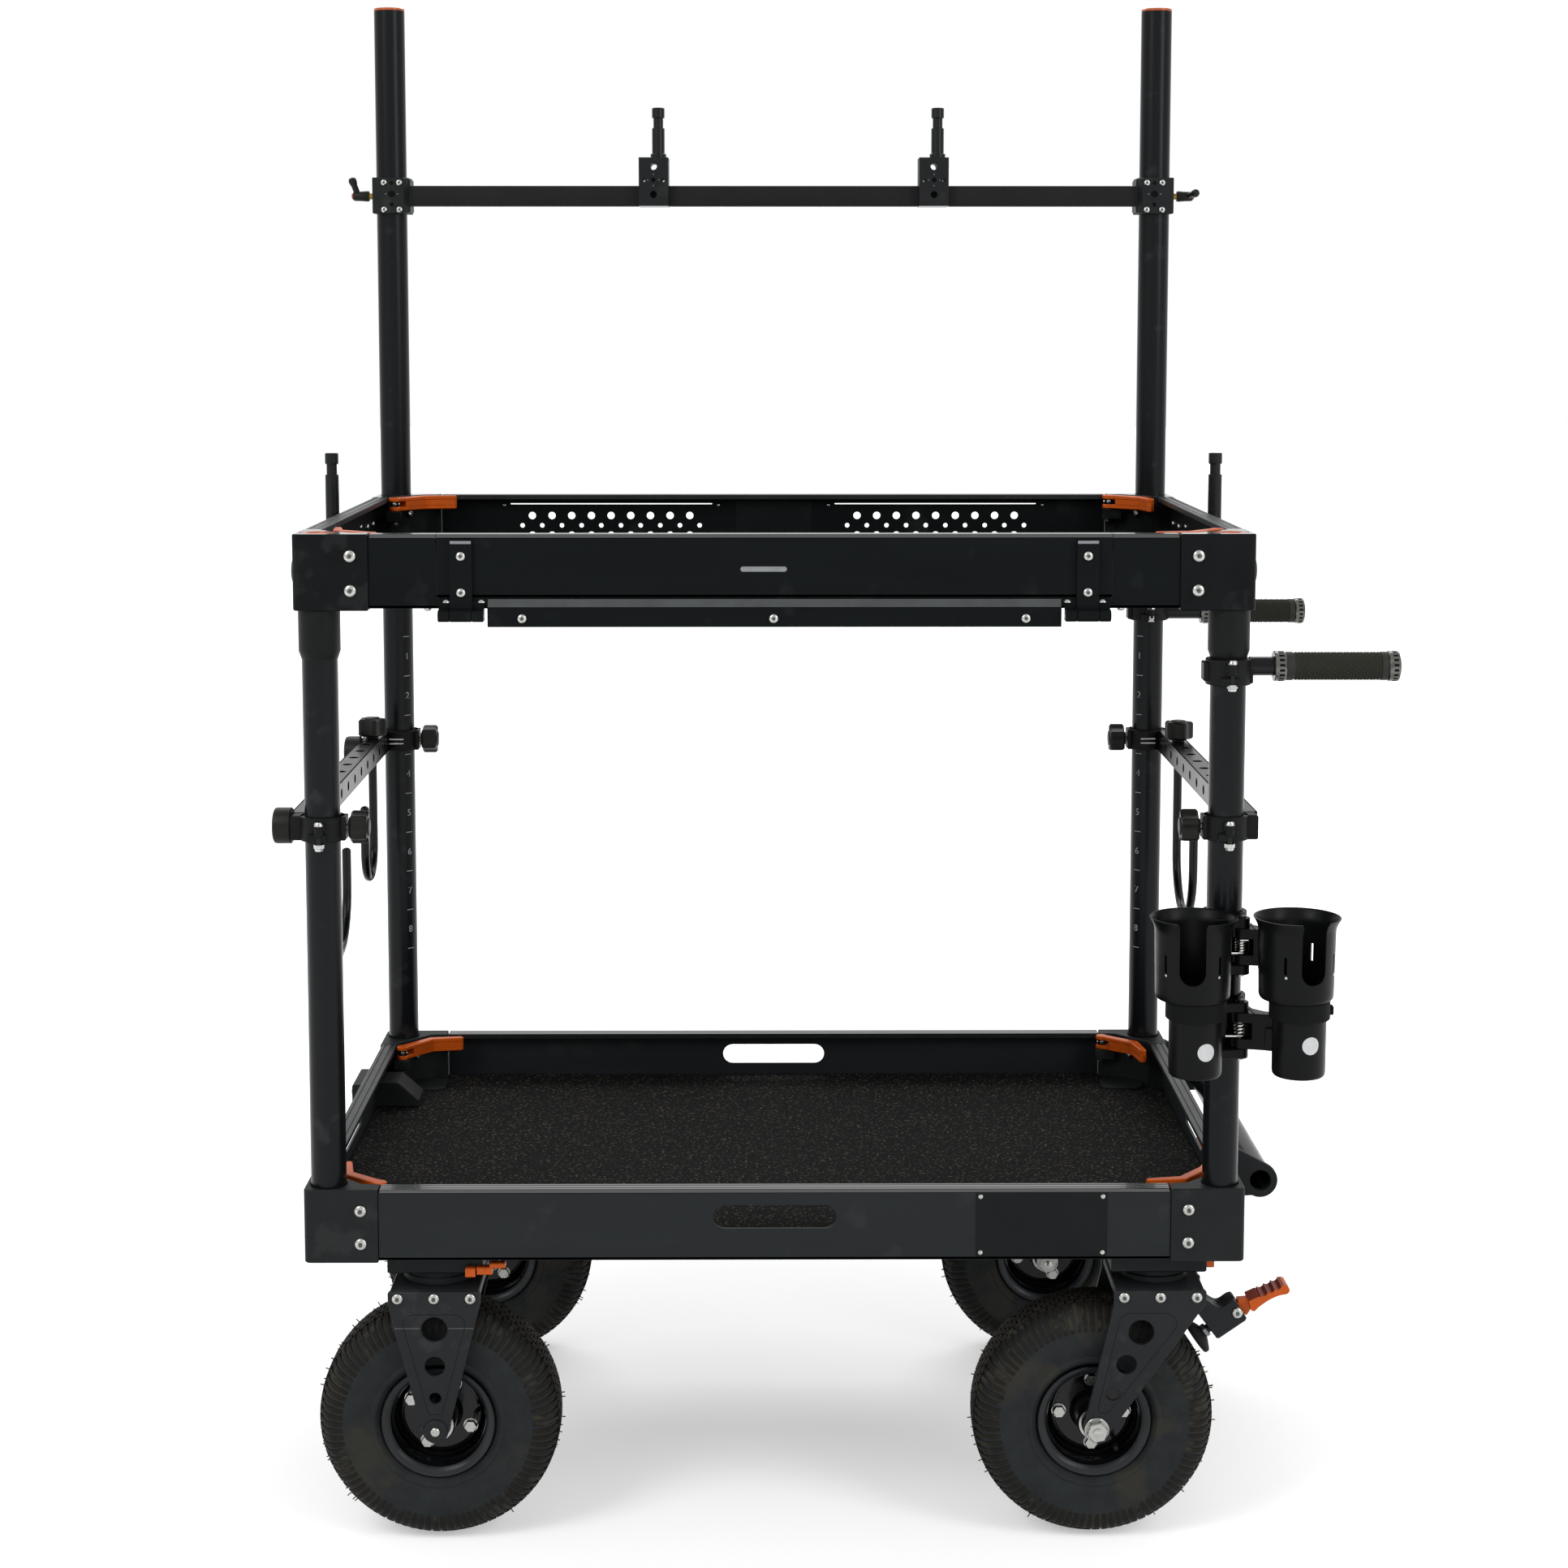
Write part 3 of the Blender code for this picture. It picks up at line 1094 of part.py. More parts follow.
def build_crossbar():
    """Square bar between the mast clamps, with both clamps fixed to its ends."""
    half = SQUARE_BAR / 2
    low = CROSSBAR_Z - MAST_CLAMP_HEIGHT / 2
    high = CROSSBAR_Z + MAST_CLAMP_HEIGHT / 2
    reach = POST_X - MAST_CLAMP_WIDTH / 2 + WELD
    bar = box((-reach, POST_Y - half, CROSSBAR_Z - half), (reach, POST_Y + half, CROSSBAR_Z + half))
    clamps = []
    bores = []
    for side in (-1, 1):
        clamps.append(box((side * POST_X - MAST_CLAMP_WIDTH / 2, POST_Y - MAST_CLAMP_DEPTH / 2, low),
                          (side * POST_X + MAST_CLAMP_WIDTH / 2, POST_Y + MAST_CLAMP_DEPTH / 2, high)))
        bores.append(post_bore(side, 1, low - WELD, high + WELD))
    crossbar = cut(join(bar, *clamps), *bores)
    piece(crossbar, "crossbar", "tube_black", (0.0, POST_Y, CROSSBAR_Z))


def ratchet_lever():
    """Stud, hub and leaning arm, with the hub's axis along X and the clamp at its origin."""
    hub_start = RATCHET_STUD_LENGTH
    profile = [(RATCHET_STUD_RADIUS, CLEARANCE), (RATCHET_STUD_RADIUS, hub_start),
               (RATCHET_HUB_RADIUS, hub_start), (RATCHET_HUB_RADIUS * 0.85, RATCHET_HUB_LENGTH)]
    hub = turned(profile, 12, "X")
    root = Vector((RATCHET_HUB_LENGTH - RATCHET_ARM_RADIUS * 1.3, 0.0, 0.0))
    way = Vector((math.sin(RATCHET_ARM_LEAN), 0.0, math.cos(RATCHET_ARM_LEAN)))
    tip = root + way * RATCHET_ARM_LENGTH
    arm = swept([root, tip], RATCHET_ARM_RADIUS, SMALL_SEGMENTS)
    return join(hub, arm)


def build_ratchets():
    """One lever outside each mast clamp; the right one points to the front."""
    outside = POST_X + MAST_CLAMP_WIDTH / 2
    right = piece(ratchet_lever(), "ratchet_lever_right", "plastic_black")
    right.location = (outside, POST_Y, CROSSBAR_Z)
    right.rotation_euler = (math.radians(80), 0.0, 0.0)
    copy_of(right, "ratchet_lever_left", (-outside, POST_Y, CROSSBAR_Z), math.pi)


def pin_block():
    """Saddle over the square bar with a spigot pin on top, about the bar's axis."""
    half = SQUARE_BAR / 2
    inner = half + CLEARANCE
    outer = inner + PIN_BLOCK_WALL
    rear = inner + PIN_BLOCK_WALL * 0.6
    top = half + PIN_BLOCK_TOP
    outline = [(-outer, -half), (-inner, -half), (-inner, inner), (inner, inner), (inner, -half),
               (rear, -half), (rear, top), (-outer, top)]
    block = prism(outline, -PIN_BLOCK_WIDTH / 2, PIN_BLOCK_WIDTH / 2, "X")
    flange = top + PIN_FLANGE_HEIGHT
    body = flange + PIN_BODY_HEIGHT
    neck = body + PIN_NECK_HEIGHT
    profile = [(PIN_FLANGE_RADIUS, top - WELD), (PIN_FLANGE_RADIUS, flange), (PIN_RADIUS, flange),
               (PIN_RADIUS, body), (PIN_NECK_RADIUS, body), (PIN_NECK_RADIUS, neck),
               (PIN_RADIUS, neck), (PIN_RADIUS, neck + PIN_HEAD_HEIGHT)]
    pin = turned(profile, PIN_SEGMENTS, centre=(PIN_OFFSET, 0.0, 0.0))
    return join(block, pin)


def build_pin_blocks():
    left = piece(pin_block(), "pin_block_left", "casting_black")
    left.location = (PIN_BLOCK_X[0], POST_Y, CROSSBAR_Z)
    copy_of(left, "pin_block_right", (PIN_BLOCK_X[1], POST_Y, CROSSBAR_Z))


def post_clamp(side, place_y, low, high):
    """Solid clamp body round a post and the hinge pin in front of it; the bore is cut later."""
    body = rod(CLAMP_RADIUS, low, high, TUBE_SEGMENTS, centre=(side * POST_X, place_y, 0.0))
    middle = (low + high) / 2
    pin_y = place_y - CLAMP_RADIUS - CLAMP_PIN_STAND_OFF
    pin = rod(CLAMP_PIN_RADIUS, middle - CLAMP_PIN_LENGTH / 2, middle + CLAMP_PIN_LENGTH / 2,
              SMALL_SEGMENTS, centre=(side * POST_X, pin_y, 0.0))
    return [body, pin]


def accessory_bar(side, hole_y):
    """Pierced square tube with a clamp at each end; one hole lies at the given place."""
    half = SQUARE_BAR / 2
    inner = half - BAR_WALL
    middle = side * BAR_X
    tube = box((middle - half, BAR_FRONT_Y, BAR_Z - half), (middle + half, BAR_REAR_Y, BAR_Z + half))
    low = BAR_Z - CLAMP_HEIGHT / 2
    high = BAR_Z + CLAMP_HEIGHT / 2
    solids = post_clamp(side, -POST_Y, low, high) + post_clamp(side, POST_Y, low, high)
    if side < 0:
        face = middle - half + WELD_SMALL
        for place in ROUND_KNOB_PLACES_Y:
            solids.append(rod(ROUND_KNOB_RADIUS, face - ROUND_KNOB_THICKNESS - WELD_SMALL, face, 16, "X",
                              (0.0, place, BAR_Z)))
    hollow = box((middle - inner, BAR_FRONT_Y + CLAMP_WALL * 3, BAR_Z - inner),
                 (middle + inner, BAR_REAR_Y - CLAMP_WALL * 3, BAR_Z + inner))
    cutters = [hollow]
    first = hole_y - math.floor((hole_y - BAR_FRONT_Y - 0.045) / BAR_HOLE_PITCH) * BAR_HOLE_PITCH
    count = int((BAR_REAR_Y - 0.035 - first) / BAR_HOLE_PITCH) + 1
    for i in range(count):
        place = first + i * BAR_HOLE_PITCH
        cutters.append(rod(BAR_HOLE_RADIUS, BAR_Z - half - WELD, BAR_Z + half + WELD, SMALL_SEGMENTS,
                           centre=(middle, place, 0.0)))
    bores = [post_bore(side, -1, low - WELD * 8, high + WELD * 8),
             post_bore(side, 1, low - WELD * 8, high + WELD * 8)]
    bar = join(tube, *solids)
    return cut(cut(bar, *cutters), *bores)


def star_outline(radius):
    """Outline of a lobed knob."""
    count = STAR_KNOB_LOBES * 4
    points = []
    for i in range(count):
        turn = 2 * math.pi * i / count
        reach = radius - STAR_KNOB_LOBE + STAR_KNOB_LOBE * math.cos(STAR_KNOB_LOBES * turn)
        points.append((reach * math.cos(turn), reach * math.sin(turn)))
    return points


def star_knob():
    """Star knob on its neck, along X from the clamp at its origin."""
    neck = CLEARANCE + STAR_KNOB_NECK_LENGTH
    head = prism(star_outline(STAR_KNOB_RADIUS), neck, neck + STAR_KNOB_THICKNESS, "X")
    stem = rod(STAR_KNOB_NECK_RADIUS, CLEARANCE, neck + WELD, SMALL_SEGMENTS, "X")
    return join(head, stem)


def build_accessory_bars():
    for name, side, hole_y in (("accessory_bar_left", -1, HOOK_LEFT_SMALL_Y),
                               ("accessory_bar_right", 1, HOOK_RIGHT_BIG_Y)):
        piece(accessory_bar(side, hole_y), name, "tube_black", (side * BAR_X, 0.0, BAR_Z))
    first = None
    inner = POST_X - CLAMP_RADIUS
    for corner, side, place_y in (("front_right", 1, -POST_Y), ("rear_right", 1, POST_Y),
                                  ("front_left", -1, -POST_Y), ("rear_left", -1, POST_Y)):
        place = (side * inner, place_y, BAR_Z)
        turn = math.pi if side > 0 else 0.0
        if first is None:
            first = piece(star_knob(), "clamp_knob_" + corner, "plastic_black")
            first.location = place
            first.rotation_euler = (0.0, 0.0, turn)
        else:
            copy_of(first, "clamp_knob_" + corner, place, turn)


def hook(gap, low_z, tip_z, with_knob):
    """J-shaped rod hung through the bar, its long leg on the Z axis and its tip to the front."""
    half = SQUARE_BAR / 2
    radius = gap / 2
    bend_z = low_z + HOOK_ROD_RADIUS + radius - BAR_Z
    top = half + CLEARANCE + HOOK_NUT_HEIGHT / 2
    path = [(0.0, 0.0, top), (0.0, 0.0, bend_z)]
    for i in range(1, 9):
        turn = math.pi * i / 8
        path.append((0.0, -radius + radius * math.cos(turn), bend_z - radius * math.sin(turn)))
    path.append((0.0, -gap, tip_z - BAR_Z))
    hook_rod = swept(path, HOOK_ROD_RADIUS, SMALL_SEGMENTS)
    under = -half - CLEARANCE
    washer = rod(HOOK_WASHER_RADIUS, under - HOOK_WASHER_THICKNESS, under, SMALL_SEGMENTS)
    over = half + CLEARANCE
    if with_knob:
        head = prism(star_outline(STAR_KNOB_RADIUS), over, over + HOOK_KNOB_HEIGHT)
    else:
        head = rod(HOOK_NUT_RADIUS, over, over + HOOK_NUT_HEIGHT, 6)
    return join(hook_rod, washer, head)


def build_hooks():
    big_left_y = HOOK_LEFT_SMALL_Y - HOOK_LEFT_BIG_PITCHES * BAR_HOLE_PITCH
    for name, side, y, shape_of in (
            ("hook_left_rear", -1, HOOK_LEFT_SMALL_Y,
             (HOOK_SMALL_GAP, HOOK_SMALL_LOW_Z, HOOK_SMALL_TIP_Z, True)),
            ("hook_left_front", -1, big_left_y,
             (HOOK_BIG_GAP, HOOK_LEFT_BIG_LOW_Z, HOOK_LEFT_BIG_TIP_Z, False)),
            ("hook_right", 1, HOOK_RIGHT_BIG_Y,
             (HOOK_BIG_GAP, HOOK_RIGHT_BIG_LOW_Z, HOOK_RIGHT_BIG_TIP_Z, True))):
        obj = piece(hook(*shape_of), name, "tube_black")
        obj.location = (side * BAR_X, y, BAR_Z)
        if name == "hook_left_front":
            obj.rotation_euler = (0.0, 0.0, math.pi)


def push_handle(reach, height, rise):
    """Post clamp with a grip standing out along X above its middle, about the post's axis."""
    half = height / 2
    body = rod(CLAMP_RADIUS, -half, half, TUBE_SEGMENTS)
    pin_half = half + HANDLE_PIN_OVERHANG
    pin = rod(CLAMP_PIN_RADIUS, -pin_half, pin_half, SMALL_SEGMENTS,
              centre=(0.0, -CLAMP_RADIUS - CLAMP_PIN_STAND_OFF, 0.0))
    start = BORE_RADIUS + WELD
    end = reach + GRIP_LENGTH
    ring = LOCK_RING_LENGTH
    profile = [(HANDLE_BAR_RADIUS, start), (HANDLE_BAR_RADIUS, reach), (LOCK_RING_RADIUS, reach),
               (LOCK_RING_RADIUS, reach + ring), (GRIP_RADIUS, reach + ring), (GRIP_RADIUS, end - ring),
               (LOCK_RING_RADIUS, end - ring), (LOCK_RING_RADIUS, end)]
    grip = turned(profile, 16, "X", centre=(0.0, 0.0, rise))
    bore = rod(BORE_RADIUS, -half - WELD * 6, half + WELD * 6, TUBE_SEGMENTS)
    return cut(join(body, pin, grip), bore)


def build_push_handles():
    for name, y, z, shape in (
            ("push_handle_front", -POST_Y, FRONT_HANDLE_Z,
             (FRONT_HANDLE_REACH, FRONT_HANDLE_CLAMP_HEIGHT, FRONT_HANDLE_RISE)),
            ("push_handle_rear", POST_Y, REAR_HANDLE_Z,
             (REAR_HANDLE_REACH, REAR_HANDLE_CLAMP_HEIGHT, 0.0))):
        obj = piece(push_handle(*shape), name, "plastic_black")
        obj.location = (POST_X, y, z)


def cup_shell(x):
    """Outer solids of one cup and of the sleeve under it."""
    flare_z = CUP_TOP_Z - CUP_FLARE
    cup = [(CUP_BASE_RADIUS - WELD, CUP_BASE_Z), (CUP_BASE_RADIUS, CUP_BASE_Z + WELD * 2),
           (CUP_RADIUS, flare_z), (CUP_RIM_RADIUS, CUP_TOP_Z - WELD), (CUP_RIM_RADIUS, CUP_TOP_Z)]
    collar_low = CUP_BASE_Z + CUP_WALL - SLEEVE_COLLAR_HEIGHT
    sleeve = [(SLEEVE_RADIUS - WELD, SLEEVE_BASE_Z), (SLEEVE_RADIUS, SLEEVE_BASE_Z + WELD * 2),
              (SLEEVE_RADIUS, collar_low), (SLEEVE_COLLAR_RADIUS, collar_low),
              (SLEEVE_COLLAR_RADIUS, CUP_BASE_Z + CUP_WALL)]
    return [turned(cup, TUBE_SEGMENTS, centre=(x, CUP_Y, 0.0)),
            turned(sleeve, TUBE_SEGMENTS, centre=(x + SLEEVE_SHIFT_X, CUP_Y + SLEEVE_SHIFT_Y, 0.0))]


def cup_hollow(x, slot_turn):
    """Cutters for the inside of a cup and its sleeve, and for the slot in the cup's wall."""
    flare_z = CUP_TOP_Z - CUP_FLARE
    floor_z = CUP_BASE_Z + CUP_WALL
    rim = CUP_RIM_RADIUS - CUP_WALL
    cup = [(CUP_BASE_RADIUS - CUP_WALL, floor_z), (CUP_RADIUS - CUP_WALL, flare_z),
           (rim, CUP_TOP_Z - WELD_SMALL), (rim, CUP_TOP_Z + WELD)]
    inside = turned(cup, TUBE_SEGMENTS, centre=(x, CUP_Y, 0.0))
    sleeve = rod(SLEEVE_BORE_RADIUS, SLEEVE_BASE_Z + CUP_WALL, floor_z + WELD, TUBE_SEGMENTS,
                 centre=(x + SLEEVE_SHIFT_X, CUP_Y + SLEEVE_SHIFT_Y, 0.0))
    half = CUP_SLOT_WIDTH / 2
    arc = [math.radians(180 + 180 * i / 6) for i in range(7)]
    outline = [(half * math.cos(t), CUP_SLOT_LOW_Z + half + half * math.sin(t)) for t in arc]
    outline += [(half, CUP_TOP_Z + WELD), (-half, CUP_TOP_Z + WELD)]
    slot = prism(outline, -CUP_RIM_RADIUS - WELD, -CUP_RADIUS / 2, "Y")
    slot.data.transform(Matrix.Translation((x, CUP_Y, 0.0)) @
                        Matrix.Rotation(math.radians(slot_turn), 4, "Z"))
    return [inside, sleeve, slot]


def jaw_arm(points, low, high):
    """Arm from a jaw past the pivot to a cup, as points measured from the pivot, with its eye."""
    outline = [(JAW_PIVOT_X + x, JAW_PIVOT_Y + y) for x, y in points]
    eye = rod(JAW_EYE_RADIUS, low, high, 12, centre=(JAW_PIVOT_X, JAW_PIVOT_Y, 0.0))
    return [prism(outline, low, high), eye]


def left_jaw(low):
    """Jaw on the left of the post, with a thin arm above and below the other jaw's arm."""
    high = low + JAW_HEIGHT
    jaw = ring_sector((POST_X, -POST_Y), BORE_RADIUS, BORE_RADIUS + JAW_WALL, 95, 258, low, high)
    return [jaw] + jaw_arm(LEFT_ARM, low, low + JAW_LEAF) + jaw_arm(LEFT_ARM, high - JAW_LEAF, high)


def right_jaw(low):
    """Jaw on the right of the post, with one tall arm between the two thin ones."""
    high = low + JAW_HEIGHT
    jaw = ring_sector((POST_X, -POST_Y), BORE_RADIUS, BORE_RADIUS + JAW_WALL, -56, 85, low, high)
    return [jaw] + jaw_arm(RIGHT_ARM, low + JAW_LEAF + CLEARANCE, high - JAW_LEAF - CLEARANCE)


def spring_path():
    """Points of the torsion spring: a leg to the left cup, the coil and a short leg to the right."""
    low = SPRING_ROOM_Z + CLEARANCE + SPRING_WIRE_RADIUS
    rise = SPRING_ROOM_HEIGHT - 2 * (CLEARANCE + SPRING_WIRE_RADIUS)
    count = SPRING_TURNS * SPRING_POINTS
    points = [Vector((-SPRING_LEG, -SPRING_RADIUS, low))]
    for i in range(count + 1):
        turn = 2 * math.pi * i / SPRING_POINTS - math.pi / 2
        points.append(Vector((SPRING_RADIUS * math.cos(turn), SPRING_RADIUS * math.sin(turn),
                              low + rise * i / count)))
    points.append(Vector((SPRING_SHORT_LEG, -SPRING_RADIUS, low + rise)))
    return [point + Vector((JAW_PIVOT_X, JAW_PIVOT_Y, 0.0)) for point in points]


def least_gap(points, per_turn, wire_radius):
    """Least gap between a coil and its own next turn."""
    gap = min((points[i] - points[j]).length for i in range(len(points))
              for j in range(i + per_turn // 2 + 1, len(points)))
    return gap - 2 * wire_radius


def build_cup_holders():
    pivot = (JAW_PIVOT_X, JAW_PIVOT_Y, 0.0)
    left = cup_shell(CUP_LEFT_X)
    right = cup_shell(CUP_RIGHT_X)
    left_cutters = cup_hollow(CUP_LEFT_X, CUP_LEFT_SLOT_TURN)
    right_cutters = cup_hollow(CUP_RIGHT_X, CUP_RIGHT_SLOT_TURN)
    for low in JAW_Z:
        left += left_jaw(low)
        left.append(rod(JAW_PIN_RADIUS, low + WELD, low + JAW_HEIGHT - WELD, SMALL_SEGMENTS, centre=pivot))
        right += right_jaw(low)
        for cutters in (left_cutters, right_cutters):
            cutters.append(post_bore(1, -1, low - WELD, low + JAW_HEIGHT + WELD))
        right_cutters.append(rod(JAW_PIN_RADIUS + 1.5 * CLEARANCE, low, low + JAW_HEIGHT, SMALL_SEGMENTS,
                                 centre=pivot))
    right_cutters.append(rod(JAW_EYE_RADIUS + WELD_SMALL, SPRING_ROOM_Z,
                             SPRING_ROOM_Z + SPRING_ROOM_HEIGHT, 12, centre=pivot))
    origin = (JAW_PIVOT_X, JAW_PIVOT_Y, JAW_Z[0])
    piece(cut(join(*left), *left_cutters), "cup_holder_left", "plastic_black", origin)
    piece(cut(join(*right), *right_cutters), "cup_holder_right", "plastic_black", origin)
    path = spring_path()
    piece(swept(path, SPRING_WIRE_RADIUS, 6), "cup_spring", "spring_steel", origin)
    gap = least_gap(path, SPRING_POINTS, SPRING_WIRE_RADIUS)
    print("cup spring, least gap to itself in mm:", round(1000 * gap, 2))


def stand_on_origin():
    """Parent every piece to one empty and move it so the origin is under the middle of the box."""
    bpy.context.view_layer.update()
    pieces = [obj for obj in bpy.context.scene.objects if obj.type == "MESH"]
    corners = [obj.matrix_world @ Vector(corner) for obj in pieces for corner in obj.bound_box]
    low = Vector([min(c[axis] for c in corners) for axis in range(3)])
    high = Vector([max(c[axis] for c in corners) for axis in range(3)])
    root = bpy.data.objects.new("camera_cart", None)
    bpy.context.scene.collection.objects.link(root)
    for obj in pieces:
        obj.parent = root
    root.location = (-(low.x + high.x) / 2, -(low.y + high.y) / 2, -low.z)
    bpy.context.view_layer.update()


def main():
    clear_scene()
    build_bottom_shelf()
    build_top_shelf()
    build_latches()
    build_posts()
    build_wheels()
    build_casters()
    build_crossbar()
    build_ratchets()
    build_pin_blocks()
    build_accessory_bars()
    build_hooks()
    build_push_handles()
    build_cup_holders()
    stand_on_origin()


main()
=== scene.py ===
"""Looks of the camera cart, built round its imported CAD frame.

Shapes are written in millimetres of the cart: X to its right, Y to its rear, Z up, with the floor
at Z = 0 and the middle of the shelves at X = Y = 0.
"""

import math
import random

import bmesh
import bpy
from mathutils import Matrix, Vector
from mathutils.geometry import tessellate_polygon


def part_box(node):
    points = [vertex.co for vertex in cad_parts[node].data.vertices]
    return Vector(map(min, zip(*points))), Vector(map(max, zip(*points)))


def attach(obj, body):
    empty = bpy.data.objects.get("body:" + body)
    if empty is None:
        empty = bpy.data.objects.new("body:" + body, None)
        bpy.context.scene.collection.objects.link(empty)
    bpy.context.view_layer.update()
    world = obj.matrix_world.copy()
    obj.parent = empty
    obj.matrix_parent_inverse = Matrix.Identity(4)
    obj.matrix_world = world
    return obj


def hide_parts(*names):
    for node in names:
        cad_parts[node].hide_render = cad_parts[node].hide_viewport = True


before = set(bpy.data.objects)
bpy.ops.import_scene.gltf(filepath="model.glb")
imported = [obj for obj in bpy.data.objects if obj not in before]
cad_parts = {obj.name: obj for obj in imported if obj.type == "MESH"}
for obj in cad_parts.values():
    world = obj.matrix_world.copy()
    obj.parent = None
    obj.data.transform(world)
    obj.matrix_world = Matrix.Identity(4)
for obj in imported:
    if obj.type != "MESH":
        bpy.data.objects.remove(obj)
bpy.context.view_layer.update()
rng = random.Random(7)

# Main sizes in millimetres
HALF_W = 508.0
HALF_D = 330.2
POST_X = 483.6
POST_Y = 305.8
BOTTOM_Z = 324.0
TOP_Z = 1032.0
HEIGHT = 81.0
RECESS = 2.0
FACE_X = HALF_W - RECESS
FACE_Y = HALF_D - RECESS
RAIL_END = 427.6
SIDE_END = HALF_D - 71
CAP_GAP = 1.8
TUBE_R = 19.05
MAST_TOP = 1725.6
CROSSBAR_Z = 1492.0
BAR_Z = 797.0
BAR_HALF = 12.7
HOLE_PITCH = 25.4
HOOK_R = 5.4
GATE_HALF = 356.0
HINGE_X = 329.8
HINGE_Y = -FACE_Y - 8.8
HINGE_Z = TOP_Z - 4.5
WHEEL_R = 133.0
WHEEL_Y = 264.0
RIGID_X = -369.5
SWIVEL_X = 418.5
TRAIL = 67.5
FORK_HALF = 60.0
FORK_TOP = 289.0
BRAKE_X = SWIVEL_X + 91.5
BRAKE_Z = 247.5
BRAKE_AIM = 0.436
RIBS = 90
TREAD_BLOCKS = 78
HAIRS = 64
CUP_FOOT = 625.0

LEFT, RIGHT, FRONT, BACK, DOWN, UP = (-1, 0, 0), (1, 0, 0), (0, -1, 0), (0, 1, 0), (0, 0, -1), (0, 0, 1)
SIDES = ((-1, "left"), (1, "right"))
FIXED = "cart_frame"

front_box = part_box("front_left_post")
rear_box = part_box("rear_right_mast")
OFFSET = Vector(((front_box[0][0] + front_box[1][0] + rear_box[0][0] + rear_box[1][0]) / 4,
                 (front_box[0][1] + front_box[1][1] + rear_box[0][1] + rear_box[1][1]) / 4, 0.0))


# Materials

def srgb(text):
    values = [int(text[i:i + 2], 16) / 255 for i in (0, 2, 4)]
    return [v / 12.92 if v <= 0.04045 else ((v + 0.055) / 1.055) ** 2.4 for v in values]


def plug(tree, node, values):
    """Sets inputs of a node to values, or links them to outputs of other nodes."""
    for key, value in values.items():
        if isinstance(value, bpy.types.NodeSocket):
            tree.links.new(value, node.inputs[key])
        else:
            node.inputs[key].default_value = value
    return node


def node(tree, kind, values):
    return plug(tree, tree.nodes.new("ShaderNode" + kind), values)


def material(name, colour, rough, metallic, level, spread=0.15, scale=60.0, bump=0.0, bump_scale=900.0,
             rough_spread=0.08, stretch=(1, 1, 1), coat=0.0, wear=None):
    """Principled material whose colour, roughness and surface vary by noise."""
    mat = bpy.data.materials.new(name)
    mat.use_nodes = True
    tree = mat.node_tree
    place = node(tree, "TexCoord", {}).outputs["Object"]
    stretched = node(tree, "Mapping", {"Vector": place, "Scale": stretch}).outputs["Vector"]
    noise = node(tree, "TexNoise", {"Vector": stretched, "Scale": scale, "Detail": 5.0, "Roughness": 0.6})
    noise = noise.outputs["Fac"]
    ramp = node(tree, "ValToRGB", {"Fac": noise})
    for stop, where, share in zip(ramp.color_ramp.elements, (0.3, 0.7), (1 - spread, 1 + spread)):
        stop.position = where
        stop.color = [*(min(1, c * share) for c in srgb(colour)), 1]
    look = ramp.outputs["Color"]
    if wear:
        worn, amount, wear_scale, start = wear
        spots = node(tree, "TexNoise", {"Vector": place, "Scale": wear_scale, "Detail": 8.0})
        mask = node(tree, "MapRange", {"Value": spots.outputs["Fac"], "From Min": start,
                                       "From Max": start + 0.08, "To Max": amount})
        mix = node(tree, "Mix", {})
        mix.data_type = "RGBA"
        plug(tree, mix, {0: mask.outputs["Result"], 6: look, 7: [*srgb(worn), 1]})
        look = mix.outputs[2]
    span = node(tree, "MapRange", {"Value": noise, "To Min": max(0.02, rough - rough_spread),
                                   "To Max": min(1.0, rough + rough_spread)})
    values = {"Base Color": look, "Roughness": span.outputs["Result"], "Metallic": metallic,
              "Specular IOR Level": level, "Coat Weight": coat}
    if bump:
        grain = node(tree, "TexNoise", {"Vector": place, "Scale": bump_scale, "Detail": 3.0})
        bumper = node(tree, "Bump", {"Height": grain.outputs["Fac"], "Strength": bump, "Distance": 0.0005})
        values["Normal"] = bumper.outputs["Normal"]
    plug(tree, tree.nodes["Principled BSDF"], values)
    return mat


RAIL = material("rail_anodised", "212426", 0.42, 0.15, 0.12, spread=0.12, scale=9, bump=0.05,
                bump_scale=1500, stretch=(0.4, 0.4, 3), wear=("343535", 0.35, 14, 0.6))
TOP_RAIL = material("top_rail_anodised", "0f1213", 0.45, 0.1, 0.05, spread=0.18, scale=9, bump=0.05,
                    bump_scale=1500, stretch=(0.4, 0.4, 3), wear=("222525", 0.6, 14, 0.6))
EDGE = material("rail_edge", "1d1f20", 0.2, 0.0, 0.6, scale=30, coat=0.4, rough_spread=0.05)
SIDE_EDGE = material("side_rail_edge", "1d1f20", 0.38, 0.0, 0.22, scale=30)
# Lighter grey for the sill's slanted face: a painted highlight where the slope catches light
SILL_HIGHLIGHT = material("sill_painted_highlight", "3f4242", 0.4, 0.3, 0.4, scale=40)
CASTING = material("casting_coat", "1e2021", 0.5, 0.1, 0.1, spread=0.14, scale=30, bump=0.12,
                   bump_scale=1100, wear=("363737", 0.35, 22, 0.58))
TOP_CASTING = material("top_casting_coat", "101213", 0.46, 0.05, 0.06, spread=0.25, scale=24, bump=0.1,
                       bump_scale=1100, wear=("232626", 0.6, 26, 0.56))
TUBE = material("tube_anodised", "101214", 0.27, 0.15, 0.13, scale=12, bump=0.03,
                bump_scale=1800, stretch=(1, 1, 0.15), wear=("3a3d40", 0.25, 30, 0.62))
